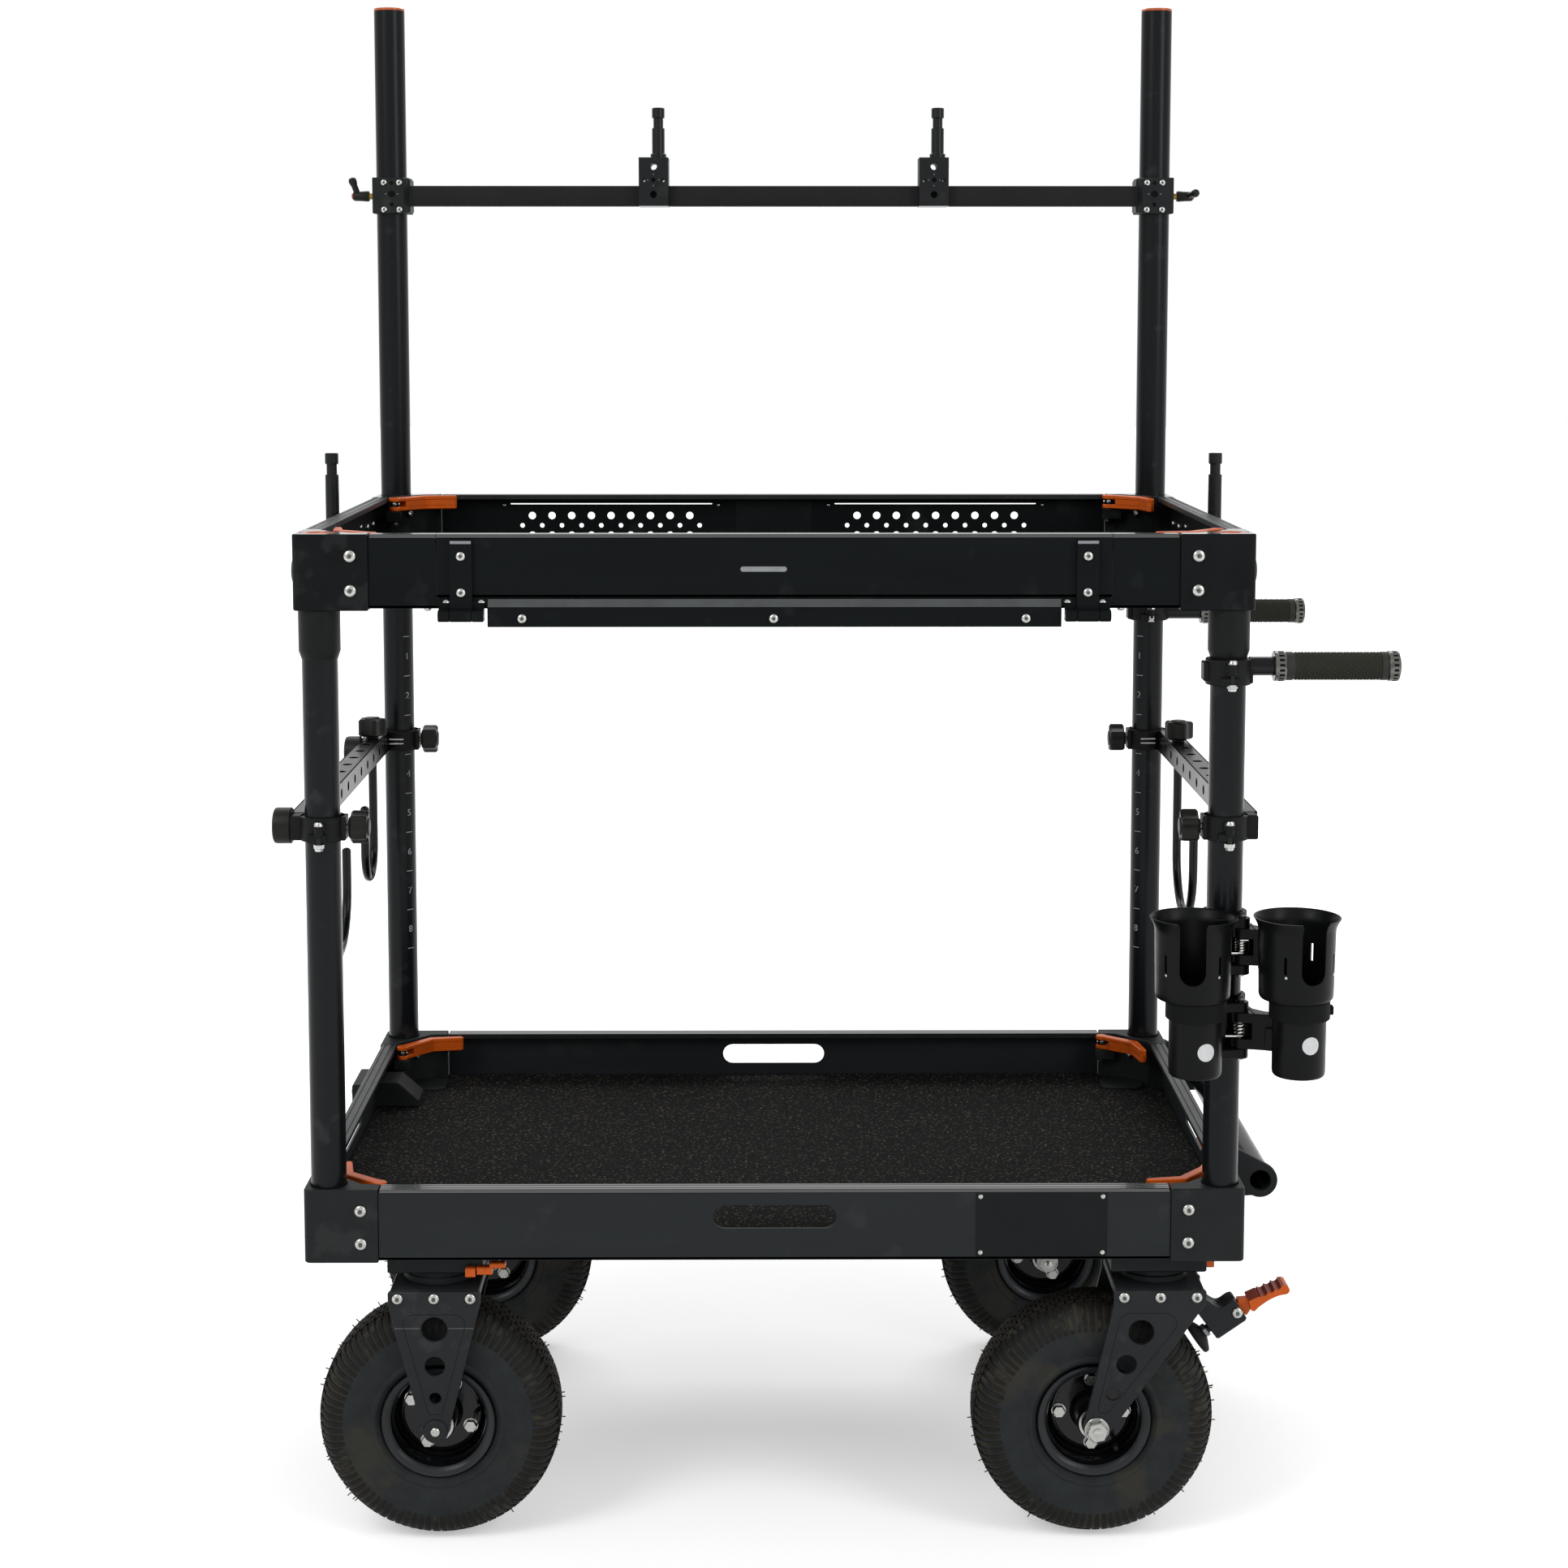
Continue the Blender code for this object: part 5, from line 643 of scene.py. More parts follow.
def wrapped(piece, text, centre, radius, turn_deg, z, size, mat):
    """Text laid round an upright tube, facing outwards at an angle."""
    curve = bpy.data.curves.new("numeral", "FONT")
    curve.body = text
    curve.size = size
    curve.align_x = "CENTER"
    curve.align_y = "CENTER"
    curve.extrude = 0.02
    holder = bpy.data.objects.new("numeral", curve)
    bpy.context.scene.collection.objects.link(holder)
    mesh = bpy.data.meshes.new_from_object(holder)
    points = []
    for vertex in mesh.vertices:
        u, v, w = vertex.co
        t = math.radians(turn_deg) + u / radius
        r = radius + 0.04 + w
        points.append((centre[0] + r * math.cos(t), centre[1] + r * math.sin(t), z + v))
    piece.add((points, [tuple(p.vertices) for p in mesh.polygons]), mat)
    bpy.data.objects.remove(holder, do_unlink=True)
    bpy.data.curves.remove(curve)
    bpy.data.meshes.remove(mesh)


def tick(piece, centre, radius, turn_deg, z, width, thick, mat):
    """Short mark round an upright tube."""
    half = math.degrees(width / 2 / radius)
    outer = arc(*centre, radius + 0.06, turn_deg - half, turn_deg + half, 4)
    inner = arc(*centre, radius - 0.3, turn_deg + half, turn_deg - half, 4)
    piece.add(plate(outer + inner, z - thick / 2, z + thick / 2, chamfer=0), mat)


for sx, side in SIDES:
    post = Piece("front_" + side + "_post")
    centre = at(sx * POST_X, -POST_Y)
    post.add(turn([(TUBE_R, 332.5), (TUBE_R, 1109.5)], 48), TUBE, centre)
    post.add(turn([(TUBE_R + 0.2, 979), (22, 987), (22.2, 988), (22.2, 1031.4), (TUBE_R, 1031.4)], 48),
             PLASTIC,
             centre)
    post.add(turn([(TUBE_R - 0.2, 1109.5), (TUBE_R, 1110), (TUBE_R, 1112.2), (18.2, 1113), (12, 1113),
                   (11.4, 1112), (0, 1112)], 48), CAP, centre)
    post.make("tube", FIXED)
    mast = Piece("rear_" + side + "_mast")
    axis = (sx * POST_X, POST_Y)
    mast.add(turn([(TUBE_R, 332.5), (TUBE_R, MAST_TOP - 3)], 48), TUBE, at(*axis))
    mast.add(turn([(TUBE_R - 0.2, MAST_TOP - 3), (TUBE_R, MAST_TOP - 2.6), (TUBE_R, MAST_TOP - 0.8),
                   (18.3, MAST_TOP), (0, MAST_TOP)], 48), CAP, at(*axis))
    facing = -90 - sx * 42
    for i in range(9):
        tick(mast, axis, TUBE_R, facing, 931.7 - i * 50.9, 9, 0.9, MARK)
    for i in range(8):
        wrapped(mast, str(i + 1), axis, TUBE_R, facing, 906 - i * 50.9, 12, MARK)
    mast.make("tube", FIXED)


# Wheels

def tyre_section():
    """Closed section of the tyre's carcass as (radius, width) points."""
    side = [(54.5, 27), (60, 30), (63.2, 31.2), (66, 36.5), (69, 39.6), (72, 40.2), (74.5, 39.2), (77, 40),
            (84, 41.6), (94, 42.4), (104, 42.3), (110, 41.6), (116, 39.6), (122, 35.5), (126.5, 28.5),
            (129, 19), (129.8, 9), (130, 0)]
    inner = [(124, 0), (118, 30), (104, 36), (80, 34), (60, 24), (54.5, 20)]
    return side + [(r, -h) for r, h in side[-2::-1] + inner[::-1]] + inner[1:]


def build_tyre(corner, x, y):
    tyre = Piece("tyre_" + corner)
    hub = at(x, y, WHEEL_R, BACK)
    tyre.add(turn(tyre_section(), 96, ring=True), TYRE, hub)
    rib = [(101, 41.6), (106, 42.9), (112, 42.2), (118, 39.8), (124, 34.8), (128.4, 27.5), (130.8, 21.4),
           (126, 20), (118, 33), (104, 39)]
    n = len(rib)
    faces = skin(2, n) + [tuple(range(n)), tuple(range(n, 2 * n))]
    for sign, offset in ((-1, 0), (1, 0.5)):
        points = [(r, along * r / 130, sign * h) for along in (-2.4, 2.4) for r, h in rib]
        tyre.add((points, faces), TREAD, *(hub @ spun((i + offset) / RIBS) for i in range(RIBS)))
    for row, offset, top in ((-16, 0, 132.2), (-8, 0.5, 132.9), (0, 0, 133), (8, 0.5, 132.9), (16, 0, 132.2)):
        tyre.add(block((126, -4.5, row - 3.3), (top, 4.5, row + 3.3)), TREAD,
                 *(hub @ spun((i + offset) / TREAD_BLOCKS) for i in range(TREAD_BLOCKS)))
    for i in range(HAIRS):
        t = math.radians(rng.uniform(120, 420))
        w = rng.choice((-19, -12, 12, 19))
        way = Vector((math.cos(t), math.sin(t), 0))
        base = way * 130 + Vector((0, 0, w))
        tyre.add(tube([base, base + way * rng.uniform(5.0, 7.5)], 0.6, 6), TREAD, hub)
    tyre.make("tyre", "wheel_" + corner)


def build_rim(corner, x, y, bolts_at, valve_at):
    """Rim, hub, bolts and valve, with the hub plate to the front."""
    rim = Piece("rim_" + corner)
    hub = at(x, y, WHEEL_R, FRONT)
    shell = [(49.5, -32), (58, -36), (62, -36.3), (62.6, -35), (62.4, -32), (58, -30.5), (54, -27.5),
             (53.8, 27.5),
             (58, 30.5), (62.4, 32), (62.6, 35), (62, 36.3), (58.5, 36), (54.5, 33.4), (51.5, 29.5),
             (49.8, 22),
             (49.3, 8), (46, 3.5), (45.5, 0), (45, -6), (49, -12)]
    rim.add(turn(shell, 72, ring=True), RIM, hub)
    lip = [(52.6, 31.6), (54.8, 34), (58.6, 36.5), (61.4, 36.7), (61, 36.2), (58.5, 35.8), (54.5, 33.2),
           (52.8, 31)]
    seal = [(15, 43), (17.7, 43), (17.7, 43.9), (15, 43.9)]
    for side in (-1, 1):
        rim.add(turn([(r, side * h) for r, h in lip], 72, ring=True), FLANGE, hub)
        rim.add(turn([(r, side * h) for r, h in seal], 40, ring=True), STEEL, hub)
    hub_plate = [(8.6, -6), (45.4, -6), (46.2, -2), (45.4, 4.5), (43.5, 6.5), (41.5, 6.8), (40.8, 5.6),
                 (24, 5.2), (22.5, 6.5), (20.4, 9), (19.3, 40), (18, 43.6), (8.6, 43.6)]
    rim.add(turn(hub_plate, 64, ring=True), RIM, hub)
    rim.add(turn([(8.6, -43.6), (18, -43.6), (19.3, -40), (19.6, -6), (8.6, -6)], 48, ring=True), RIM, hub)
    for i in range(4):
        t = math.radians(bolts_at + 90 * i)
        spot = hub @ at(36 * math.cos(t), 36 * math.sin(t))
        rim.hexagon(12.4, 5.5, 1.2, spot @ at(0, 0, 5.4))
        rim.hexagon(10, 4.5, 1.0, spot @ at(0, 0, -6) @ FLIP)
    valve = [(47, 12), (42, 21), (41, 33)]
    t = math.radians(valve_at)
    rim.add(tube([(r * math.cos(t), r * math.sin(t), h) for r, h in valve], 2.6, 14), PLASTIC, hub)
    rim.make("rim", "wheel_" + corner)


for corner, x, y, bolts_at, valve_at in (("front_left", RIGID_X, -WHEEL_Y, 64.8, 10),
                                         ("rear_left", RIGID_X, WHEEL_Y, 30, 75),
                                         ("front_right", SWIVEL_X - TRAIL, -WHEEL_Y, 0, -53),
                                         ("rear_right", SWIVEL_X - TRAIL, WHEEL_Y, 20, 60)):
    build_tyre(corner, x, y)
    build_rim(corner, x, y, bolts_at, valve_at)


# Casters

def fork_outline(middle, axle):
    """Side plate of a fork as (X, Z) points."""
    radius = 14.0
    shoulder = 274.0
    left, right = middle - 50, middle + 50
    centre = Vector((axle, WHEEL_R))

    def touch(x, sign):
        """Angle at which the plate's edge from a shoulder meets the round foot."""
        offset = Vector((x, shoulder)) - centre
        return math.atan2(offset.y, offset.x) - sign * math.acos(radius / offset.length)

    start, end = touch(right, 1), touch(left, -1) - 2 * math.pi
    return ([(left + 1.5, FORK_TOP), (right - 1.5, FORK_TOP), (right, FORK_TOP - 1.5), (right, shoulder + 1)]
            + arc(axle, WHEEL_R, radius, math.degrees(start), math.degrees(end), 16)
            + [(left, shoulder + 1), (left, FORK_TOP - 1.5)])


def fork_engraving(middle, axle):
    """Rounded outline cut into the face of a fork plate, along its edges."""
    corners = []
    for sign in (-1, 1):
        top = Vector((middle + sign * 50, 274))
        run = Vector((axle + sign * 13.6, WHEEL_R + 4)) - top
        side = Vector((run.y, -run.x)).normalized() * sign
        start = top - side * math.copysign(9.5, side.x * sign)
        corners.append([(start.x + run.x * (start.y - z) / -run.y, z) for z in (264.4, 151.4)])
    return softened([corners[0][0], corners[1][0], corners[1][1], corners[0][1]], (12, 12, 5, 5))


def fork(piece, middle, axle, y, hole_sizes):
    """Side plates with holes at shares of the height over the axle, crown, bolts and bosses."""
    holes = [circle(axle + (middle - axle) * share, WHEEL_R + (FORK_TOP - WHEEL_R) * share, radius, 36)
             for radius, share in hole_sizes]
    line = fork_engraving(middle, axle)
    for side in (-1, 1):
        outer = y + side * FORK_HALF
        piece.add(plate(fork_outline(middle, axle), outer - side * 6, outer, "Y", holes, 0.7), FORK)
        piece.add(plate(line, outer - 0.1, outer + 0.1, "Y", [inset(line, 0.8)], 0), GROOVE)
        piece.button(6.2, 3.4, *(at(middle + dx, outer, 282, (0, side, 0)) for dx in (-39.4, 0, 39.4)))
        piece.add(disc(13, 0, 10.2, 0.6, 32), FORK, at(axle, y + side * 54.2, WHEEL_R, (0, -side, 0)))
    piece.add(block((middle - 48.5, y - 54.5, 279), (middle + 48.5, y + 54.5, FORK_TOP), 1), FORK)


def axle_ends(piece, axle, y, hexagonal):
    """Axle with nuts at its ends, or with round heads."""
    piece.add(disc(8, -58, 58, 0.8, 28), STEEL, at(axle, y, WHEEL_R, BACK))
    places = [at(axle, y + side * FORK_HALF, WHEEL_R, (0, side, 0), 12) for side in (-1, 1)]
    if hexagonal:
        piece.add(disc(13.4, 0, 1.6, 0.4, 36), STEEL, *places)
        piece.hexagon(21, 8, 0, *(place @ at(0, 0, 1.6) for place in places))
        piece.add(turn([(5, 9), (5, 11), (3.5, 11.8), (0, 11.8)], 24), STEEL, *places)
    else:
        piece.add(turn([(12.7, 0), (12.7, 2.2), (11.9, 2.9), (5.2, 3), (5.1, 2.6), (0, 2.6)], 40), FORK,
                  *places)
        piece.add(turn([(4.8, 2.5), (4.8, 3.6), (4.2, 4.1), (0, 4.1)], 28), STEEL, *places)


def caster_head(piece, x, y, low):
    """Mounting plate under the shelf and the race below it."""
    piece.add(block((x - 52, y - 44, 304), (x + 52, y + 44, 323.6), 2), CASTING)
    piece.add(turn([(34, low), (37.4, low + 1.4), (37.4, 304)], 48), CASTING, at(x, y))
    piece.button(5, 3, *(at(x + dx, y + dy, 304, DOWN) for dx in (-40, 40) for dy in (-33, 33)))


def release_lever(piece, x, y):
    """Orange release lever of a caster mount, under the shelf's edge."""
    piece.add(block((x - 22.5, y - 6, 302.5), (x - 11.6, y + 5, 313.5), 1.2), ORANGE)
    # Dark block in the slot between the orange blocks: painted shade
    piece.add(block((x - 12.6, y - 5, 305), (x - 10, y + 5, 312), 0.4), RECESS_SHADE)
    piece.add(block((x - 10.8, y - 5, 305), (x + 6.7, y + 5, 313.8), 1), ORANGE)
    piece.add(block((x + 4, y - 5.5, 312.4), (x + 21, y + 4, 318.6), 1), ORANGE)


for corner, sy in (("front_left", -1), ("rear_left", 1)):
    y = sy * WHEEL_Y
    rigid = Piece("fork_" + corner)
    fork(rigid, RIGID_X, RIGID_X, y, ((14, 0.73), (11, 0.465), (6.5, 0.235)))
    axle_ends(rigid, RIGID_X, y, False)
    if sy < 0:
        for start in (RIGID_X - 43.0, RIGID_X + 15.5):
            rigid.add(block((start, y - 60.1, 248.4), (start + 27.5, y - 59.9, 248.9), 0), ETCH)
    caster_head(rigid, RIGID_X, y, 288)
    rigid.add(disc(40, FORK_TOP, 297, 1, 48), FORK, at(RIGID_X, y))
    release_lever(rigid, RIGID_X + 56, y + sy * 46)
    rigid.make("fork", FIXED)


def brake_block(swivel, y):
    """Two cheeks on the fork with a core between them, and the lever's pivot bolt."""
    cheek = [(-49.5, 41), (-41.5, 41), (-41.5, 18.5), (-34.9, 15.6), (-27.4, 9.5), (-23.5, 7), (-19.9, 5.8),
             (-16.6, 6.4), (-13.8, 8.1), (-8.4, 12.2), (-3.6, 13.8), (-1.6, 12.8), (10.6, -6.2), (9.5, -9),
             (-19.3, -29.2), (-22.2, -29.2), (-44.4, 0.7)]
    core = [(-49, 40), (-42, 40), (-42, 17.5), (-34.9, 14.9), (-27.4, 8.9), (-19.9, 5.2), (-14.4, 7),
            (-11, 9.6), (-10.4, -14), (-19.4, -28.2), (-22, -28.2), (-43.6, 0.7)]
    for outline, near, far, chamfer in ((cheek, -15, -6.4, 0.8), (cheek, 6.4, 15, 0.8),
                                        (core, -6.6, 6.6, 0.3)):
        swivel.add(plate([(BRAKE_X + a, BRAKE_Z + b) for a, b in outline], y + near, y + far, "Y",
                         chamfer=chamfer), FORK)
    swivel.button(6.2, 3, *(at(BRAKE_X, y + side * 15, BRAKE_Z, (0, side, 0)) for side in (-1, 1)))


def brake_lever(corner, y):
    """Eye on the pivot, neck and ribbed pedal."""
    lever = Piece("brake_lever_" + corner)
    place = at(BRAKE_X, y, BRAKE_Z) @ Matrix.Rotation(-BRAKE_AIM, 4, "Y")
    eye = arc(0, 0, 8.5, 50, 310, 12) + [(8.4, -11), (16.8, -5.6), (22, -4.5), (22, 5), (17.5, 5.4),
                                         (6.5, 9.5)]
    lever.add(plate(eye, -6, 6, "Y", [circle(0, 0, 3.3, 20)], 0.8), ORANGE, place)
    under = [(15.3, -5), (18.2, -6.9), (24, -4.6), (32.9, -2.7), (39, -1.9), (45.3, -1.7), (52, -2.4),
             (57.7, -4),
             (60, -4), (62.3, -2.6), (63.4, 0), (63.2, 3), (61.5, 5.2)]
    top = [(59, 6.2)]
    for ridge in (56.7, 48.4, 40.0, 31.6):
        top += [(ridge + 1.2, 6.2), (ridge, 6.9), (ridge - 1.2, 5.2), (ridge - 4.2, 4.2), (ridge - 7.2, 5.2)]
    top = top[:-2] + [(29, 6.4), (17, 6.4)]
    lever.add(plate(under + top, -14.5, 14.5, "Y", chamfer=0.3), ORANGE, place)
    coat = [(a, b + 0.1) for a, b in top] + [(a, b - 0.3) for a, b in reversed(top)]
    lever.add(plate(coat, -14.1, 14.1, "Y", chamfer=0), PEDAL, place)
    lever.make("lever")


def brake_pad(corner, y):
    """Stem with a nut and a flared rubber pad that points at the tyre."""
    pad = Piece("brake_pad_" + corner)
    stem = at(BRAKE_X - 27.94, y, BRAKE_Z - 21.75, Vector((-0.285, 0.0, -0.209)).normalized())
    pad.add(disc(4.9, -13.5, 12, 0.4, 24), PIN, stem)
    pad.add(disc(8, 3.5, 8.2, 0.5, 6), PALE_METAL_AND_HIGHLIGHT, stem)
    pad.add(turn([(7.5, 8.5), (10, 9.5), (18, 13.6), (19.8, 15), (20, 16), (20, 18.6), (19, 20), (0, 20)],
                 44), PAD,
            stem)
    pad.make("pad")


for corner, sy in (("front_right", -1), ("rear_right", 1)):
    y = sy * WHEEL_Y
    head = Piece("caster_plate_" + corner)
    caster_head(head, SWIVEL_X, y, 296.4)
    head.add(disc(7.9, 271, 300, 0.5, 28), STEEL, at(SWIVEL_X, y))
    head.hexagon(24, 8, 0, at(SWIVEL_X, y, 278.6, DOWN))
    tip_y = y + sy * 36
    head.add(block((SWIVEL_X + 48, tip_y - 4, 308), (SWIVEL_X + 61, tip_y + 4, 316), 1), ORANGE)
    head.make("fork", FIXED)
    swivel = Piece("fork_" + corner)
    axle = SWIVEL_X - TRAIL
    fork(swivel, SWIVEL_X, axle, y, ((14, 0.7), (11, 0.468), (7.8, 0.257)))
    axle_ends(swivel, axle, y, True)
    swivel.add(disc(37.6, FORK_TOP, 295.8, 1, 48), FORK, at(SWIVEL_X, y))
    brake_block(swivel, y)
    swivel.make("fork", "swivel_" + corner)
    brake_lever(corner, y)
    brake_pad(corner, y)


# Crossbar

bar = Piece("crossbar")
reach = POST_X - 22
outline = rounded(POST_Y - BAR_HALF, CROSSBAR_Z - BAR_HALF, POST_Y + BAR_HALF, CROSSBAR_Z + BAR_HALF, 1.6, 3)
bar.add(plate(outline, -reach, reach, "X", chamfer=0), BAR)
front = POST_Y - 24.8
for sx in (-1, 1):
    x = sx * POST_X
    middle = x - sx * 3
    outline = [(x + sx * 21.2, front), (x - sx * 18.2, front), (x - sx * 23.4, front + 9),
               (x - sx * 23.4, POST_Y + 24.8), (x + sx * 21.2, POST_Y + 24.8)]
    bar.add(plate(outline, CROSSBAR_Z - 22.5, CROSSBAR_Z + 22.5, "Z", [circle(x, POST_Y, TUBE_R + 0.4, 40)],
                  0.8),
            CASTING)
    bar.button(4.0, 2.2, *(at(middle + dx, front, CROSSBAR_Z - 0.7 + dz, FRONT)
                           for dx in (-9.6, 9.6) for dz in (-16.8, 16.8)))
    # Flat dark discs on the clamp's face: painted shade standing for holes
    for dz, radius in ((-11.2, 2.7), (2, 4.3), (15.6, 2.5)):
        bar.add(turn([(radius, 0), (radius, 0.2)], 24), RECESS_SHADE, at(middle, front, CROSSBAR_Z + dz, FRONT))
    bar.add(turn([(0.9, 0), (0.9, 0.15)], 12), ETCH,
            *(at(middle + dx, front, CROSSBAR_Z + 2, FRONT) for dx in (-7.5, 7.5)))
    bar.add(block((x - sx * 22, POST_Y - 14, CROSSBAR_Z - 20), (x - sx * 25, POST_Y + 22, CROSSBAR_Z + 20),
                  0.5),
            FORK)
bar.make("tube")

for (sx, side), lean in zip(SIDES, (0.0, 80.0)):
    ratchet = Piece("ratchet_lever_" + side)
    stud_x = sx * (POST_X + 22.5)
    place = at(stud_x, POST_Y, CROSSBAR_Z, (sx, 0, 0))
    ratchet.add(disc(4, 0.3, 7, 0.3, 24), BRASS, place)
    ratchet.add(turn([(6.4, 6), (6.8, 8), (6.2, 16), (6.0, 24), (5.2, 26), (0, 26.4)], 32), KNOB, place)
    ratchet.add(turn([(4.0, 26.2), (4.0, 27.4), (3.2, 28), (0, 28.2)], 20), CAP, place)
    base = Vector((stud_x + sx * 20, POST_Y, CROSSBAR_Z))
    way = Matrix.Rotation(math.radians(lean), 3, "X") @ Vector((sx * math.sin(0.35), 0, math.cos(0.35)))
    ratchet.add(tube([base + way * t for t in (0, 8, 16, 20)], 3.9, 18), KNOB)
    ratchet.add(turn([(3.6, -6), (4.8, -2.5), (5.2, 1), (4.4, 3.6), (2.6, 5), (0, 5.4)], 24), KNOB,
                at(*(base + way * 19.5), way))
    ratchet.make("plastic")

for side, x in (("left", -151.0), ("right", 202.5)):
    saddle = Piece("pin_block_" + side)
    low, middle, top = CROSSBAR_Z - BAR_HALF, CROSSBAR_Z + 13, CROSSBAR_Z + 47.7
    front, back = POST_Y - 25, POST_Y + 19.9
    x0, x1 = x - 18.5, x + 18.5
    through = [circle(x, CROSSBAR_Z + 36.4, 4.4, 24), circle(x - 12.2, CROSSBAR_Z + 19, 1.9, 16),
               circle(x + 12.2, CROSSBAR_Z + 19, 1.9, 16)]
    blind = [circle(x, CROSSBAR_Z + 19.4, 2.5, 20), circle(x, CROSSBAR_Z + 1.1, 4.2, 24)]
    saddle.add(plate(rect(x0, low, x1, top), front, front + 6, "Y", through + blind), CASTING)
    saddle.add(turn([(0.8, 0), (0.8, 0.15)], 12), ETCH, *(at(x + dx, front, CROSSBAR_Z + 19.4 + dz, FRONT)
                                                          for dx, dz in ((0, 7), (0, -7), (7, 0), (-7, 0))))
    saddle.add(plate(rect(x0, middle, x1, top), front + 6.05, POST_Y + 20, "Y", through, 0.3), CASTING)
    # Dark block in the hollow under the saddle: painted shade
    saddle.add(block((x0 + 0.2, front + 6.1, low), (x1 - 0.2, POST_Y - 13, middle), 0.3), RECESS_SHADE)
    saddle.add(block((x0, POST_Y + 13, low), (x1, back, middle), 0.4), CASTING)
    saddle.add(block((x0, front, low - 0.5), (x1, back, low), 0.1), PALE_METAL_AND_HIGHLIGHT)
    saddle.add(turn([(10, top - 1), (10, top + 5), (9, top + 6), (8, top + 6)], 32), PIN, at(x + 5.5, POST_Y))
    spigot(saddle, x + 5.5, POST_Y, top, top + 63)
    saddle.make("pin")


# Side bars, hooks and knobs

def post_clamp(piece, centre, low, high, mat, dome, nut, turned_back=False):
    """Clamp ring round a post, with the screw in front of it, or behind, from its dome to its nut."""
    piece.add(turn([(19.5, low), (23.6, low), (24.3, low + 0.8), (24.3, high - 0.8), (23.6, high),
                    (19.5, high)],
                   48, ring=True), mat, centre)
    if turned_back:
        centre = centre @ spun(0.5)
    screw = centre @ at(0, -27)
    piece.add(disc(2.5, nut - 1, dome + 1, 0.2, 16), PIN, screw)
    piece.add(disc(5.2, dome - 12, dome, 0.5, 24), mat, screw)
    for left, right, start, stop in ((-12, 8, low + 0.5, low + 9.5), (-7, 7, high - 13, high - 4)):
        piece.add(block((left, -29, start), (right, -20, stop), 1), mat, centre)
    piece.add(turn([(5.4, 0), (5.2, 2.2), (3.8, 4.2), (0, 5)], 28), STEEL, screw @ at(0, 0, dome))
    piece.add(turn([(5.6, 0), (5.6, 4), (4.6, 4.4), (4.2, 7), (0, 8)], 6), STEEL,
              screw @ at(0, 0, nut) @ FLIP)


def star(piece, place, height):
    """Five-lobed hand knob along Z."""
    outline = []
    for i in range(60):
        t = 2 * math.pi * i / 60
        wave = math.cos(5 * t)
        r = 15.6 + 3.0 * (wave if wave > -0.2 else -0.2 + (wave + 0.2) * 0.4)
        outline.append((r * math.cos(t), r * math.sin(t)))
    piece.add(plate(outline, 0, height, chamfer=2.2), KNOB, place)
    piece.add(turn([(9.5, height), (9.5, height + 0.8), (8.5, height + 1.4), (0, height + 1.4)], 32), KNOB,
              place)


for (sx, side), hole_y in zip(SIDES, (229.0, 197.0)):
    bar = Piece("accessory_bar_" + side)
    x = sx * 508.0
    pitch = 2 * HOLE_PITCH
    first = hole_y - math.floor((hole_y + 245) / pitch) * pitch
    places = [first + i * pitch for i in range(int((255 - first) / pitch) + 1)]
    spots = [circle(x, y, 5.9, 24) for y in places]
    side_spots = [circle(y + HOLE_PITCH, BAR_Z, 5.5, 24) for y in places if y + HOLE_PITCH < 262]
    wall = rect(-288, BAR_Z - BAR_HALF, 288, BAR_Z + BAR_HALF)
    flat = rect(x - BAR_HALF + 0.06, -288, x + BAR_HALF - 0.06, 288)
    for end in (-1, 1):
        outer, inner = end * BAR_HALF, end * (BAR_HALF - 2.5)
        bar.add(plate(flat, BAR_Z + inner, BAR_Z + outer, "Z", spots, 0.3), TUBE)
        bar.add(plate(wall, x + inner, x + outer, "X", side_spots, 0.5), TUBE)
    for y in (-POST_Y, POST_Y):
        post_clamp(bar, at(sx * POST_X, y), BAR_Z - 13, BAR_Z + 13, PLASTIC, BAR_Z + 6, BAR_Z - 14, y > 0)
        inward = sx * (POST_X - 21.8)
        bar.add(block((inward - 4.2, y - 11, BAR_Z - 13), (inward + 4.2, y + 11, BAR_Z + 13), 1), PLASTIC)
        end_y = math.copysign(300, y)
        bar.add(block((x - sx * 6, end_y - 13, BAR_Z - 13.5), (x + sx * 9.5, end_y + 8, BAR_Z + 13), 1.5),
                PLASTIC)
    bar.add(disc(1.2, -11, 8, 0.4, 16), STEEL,
            *(at(sx * POST_X, POST_Y - 24.3, BAR_Z + dz, RIGHT) for dz in (-2.6, 2.8)))
    if sx < 0:
        bar.add(turn([(18.2, 0), (19.5, 1.2), (19.5, 15.5), (18.8, 18.4), (16.5, 19.7), (0, 20)], 48), KNOB,
                *(at(-517.5, y, BAR_Z, LEFT) for y in (-296, 200)))
    bar.make("tube")

for corner, sx, sy in (("front_left", -1, -1), ("front_right", 1, -1), ("rear_left", -1, 1),
                       ("rear_right", 1, 1)):
    knob = Piece("clamp_knob_" + corner)
    place = at(sx * (POST_X - TUBE_R - 5.3), sy * POST_Y, BAR_Z, (-sx, 0, 0), 10)
    knob.add(disc(3.6, 0.3, 7, 0.3, 20), STEEL, place)
    knob.add(turn([(8, 3.4), (8, 5.6), (11, 7)], 32), KNOB, place)
    star(knob, place @ at(0, 0, 5.4), 19)
    knob.make("plastic")


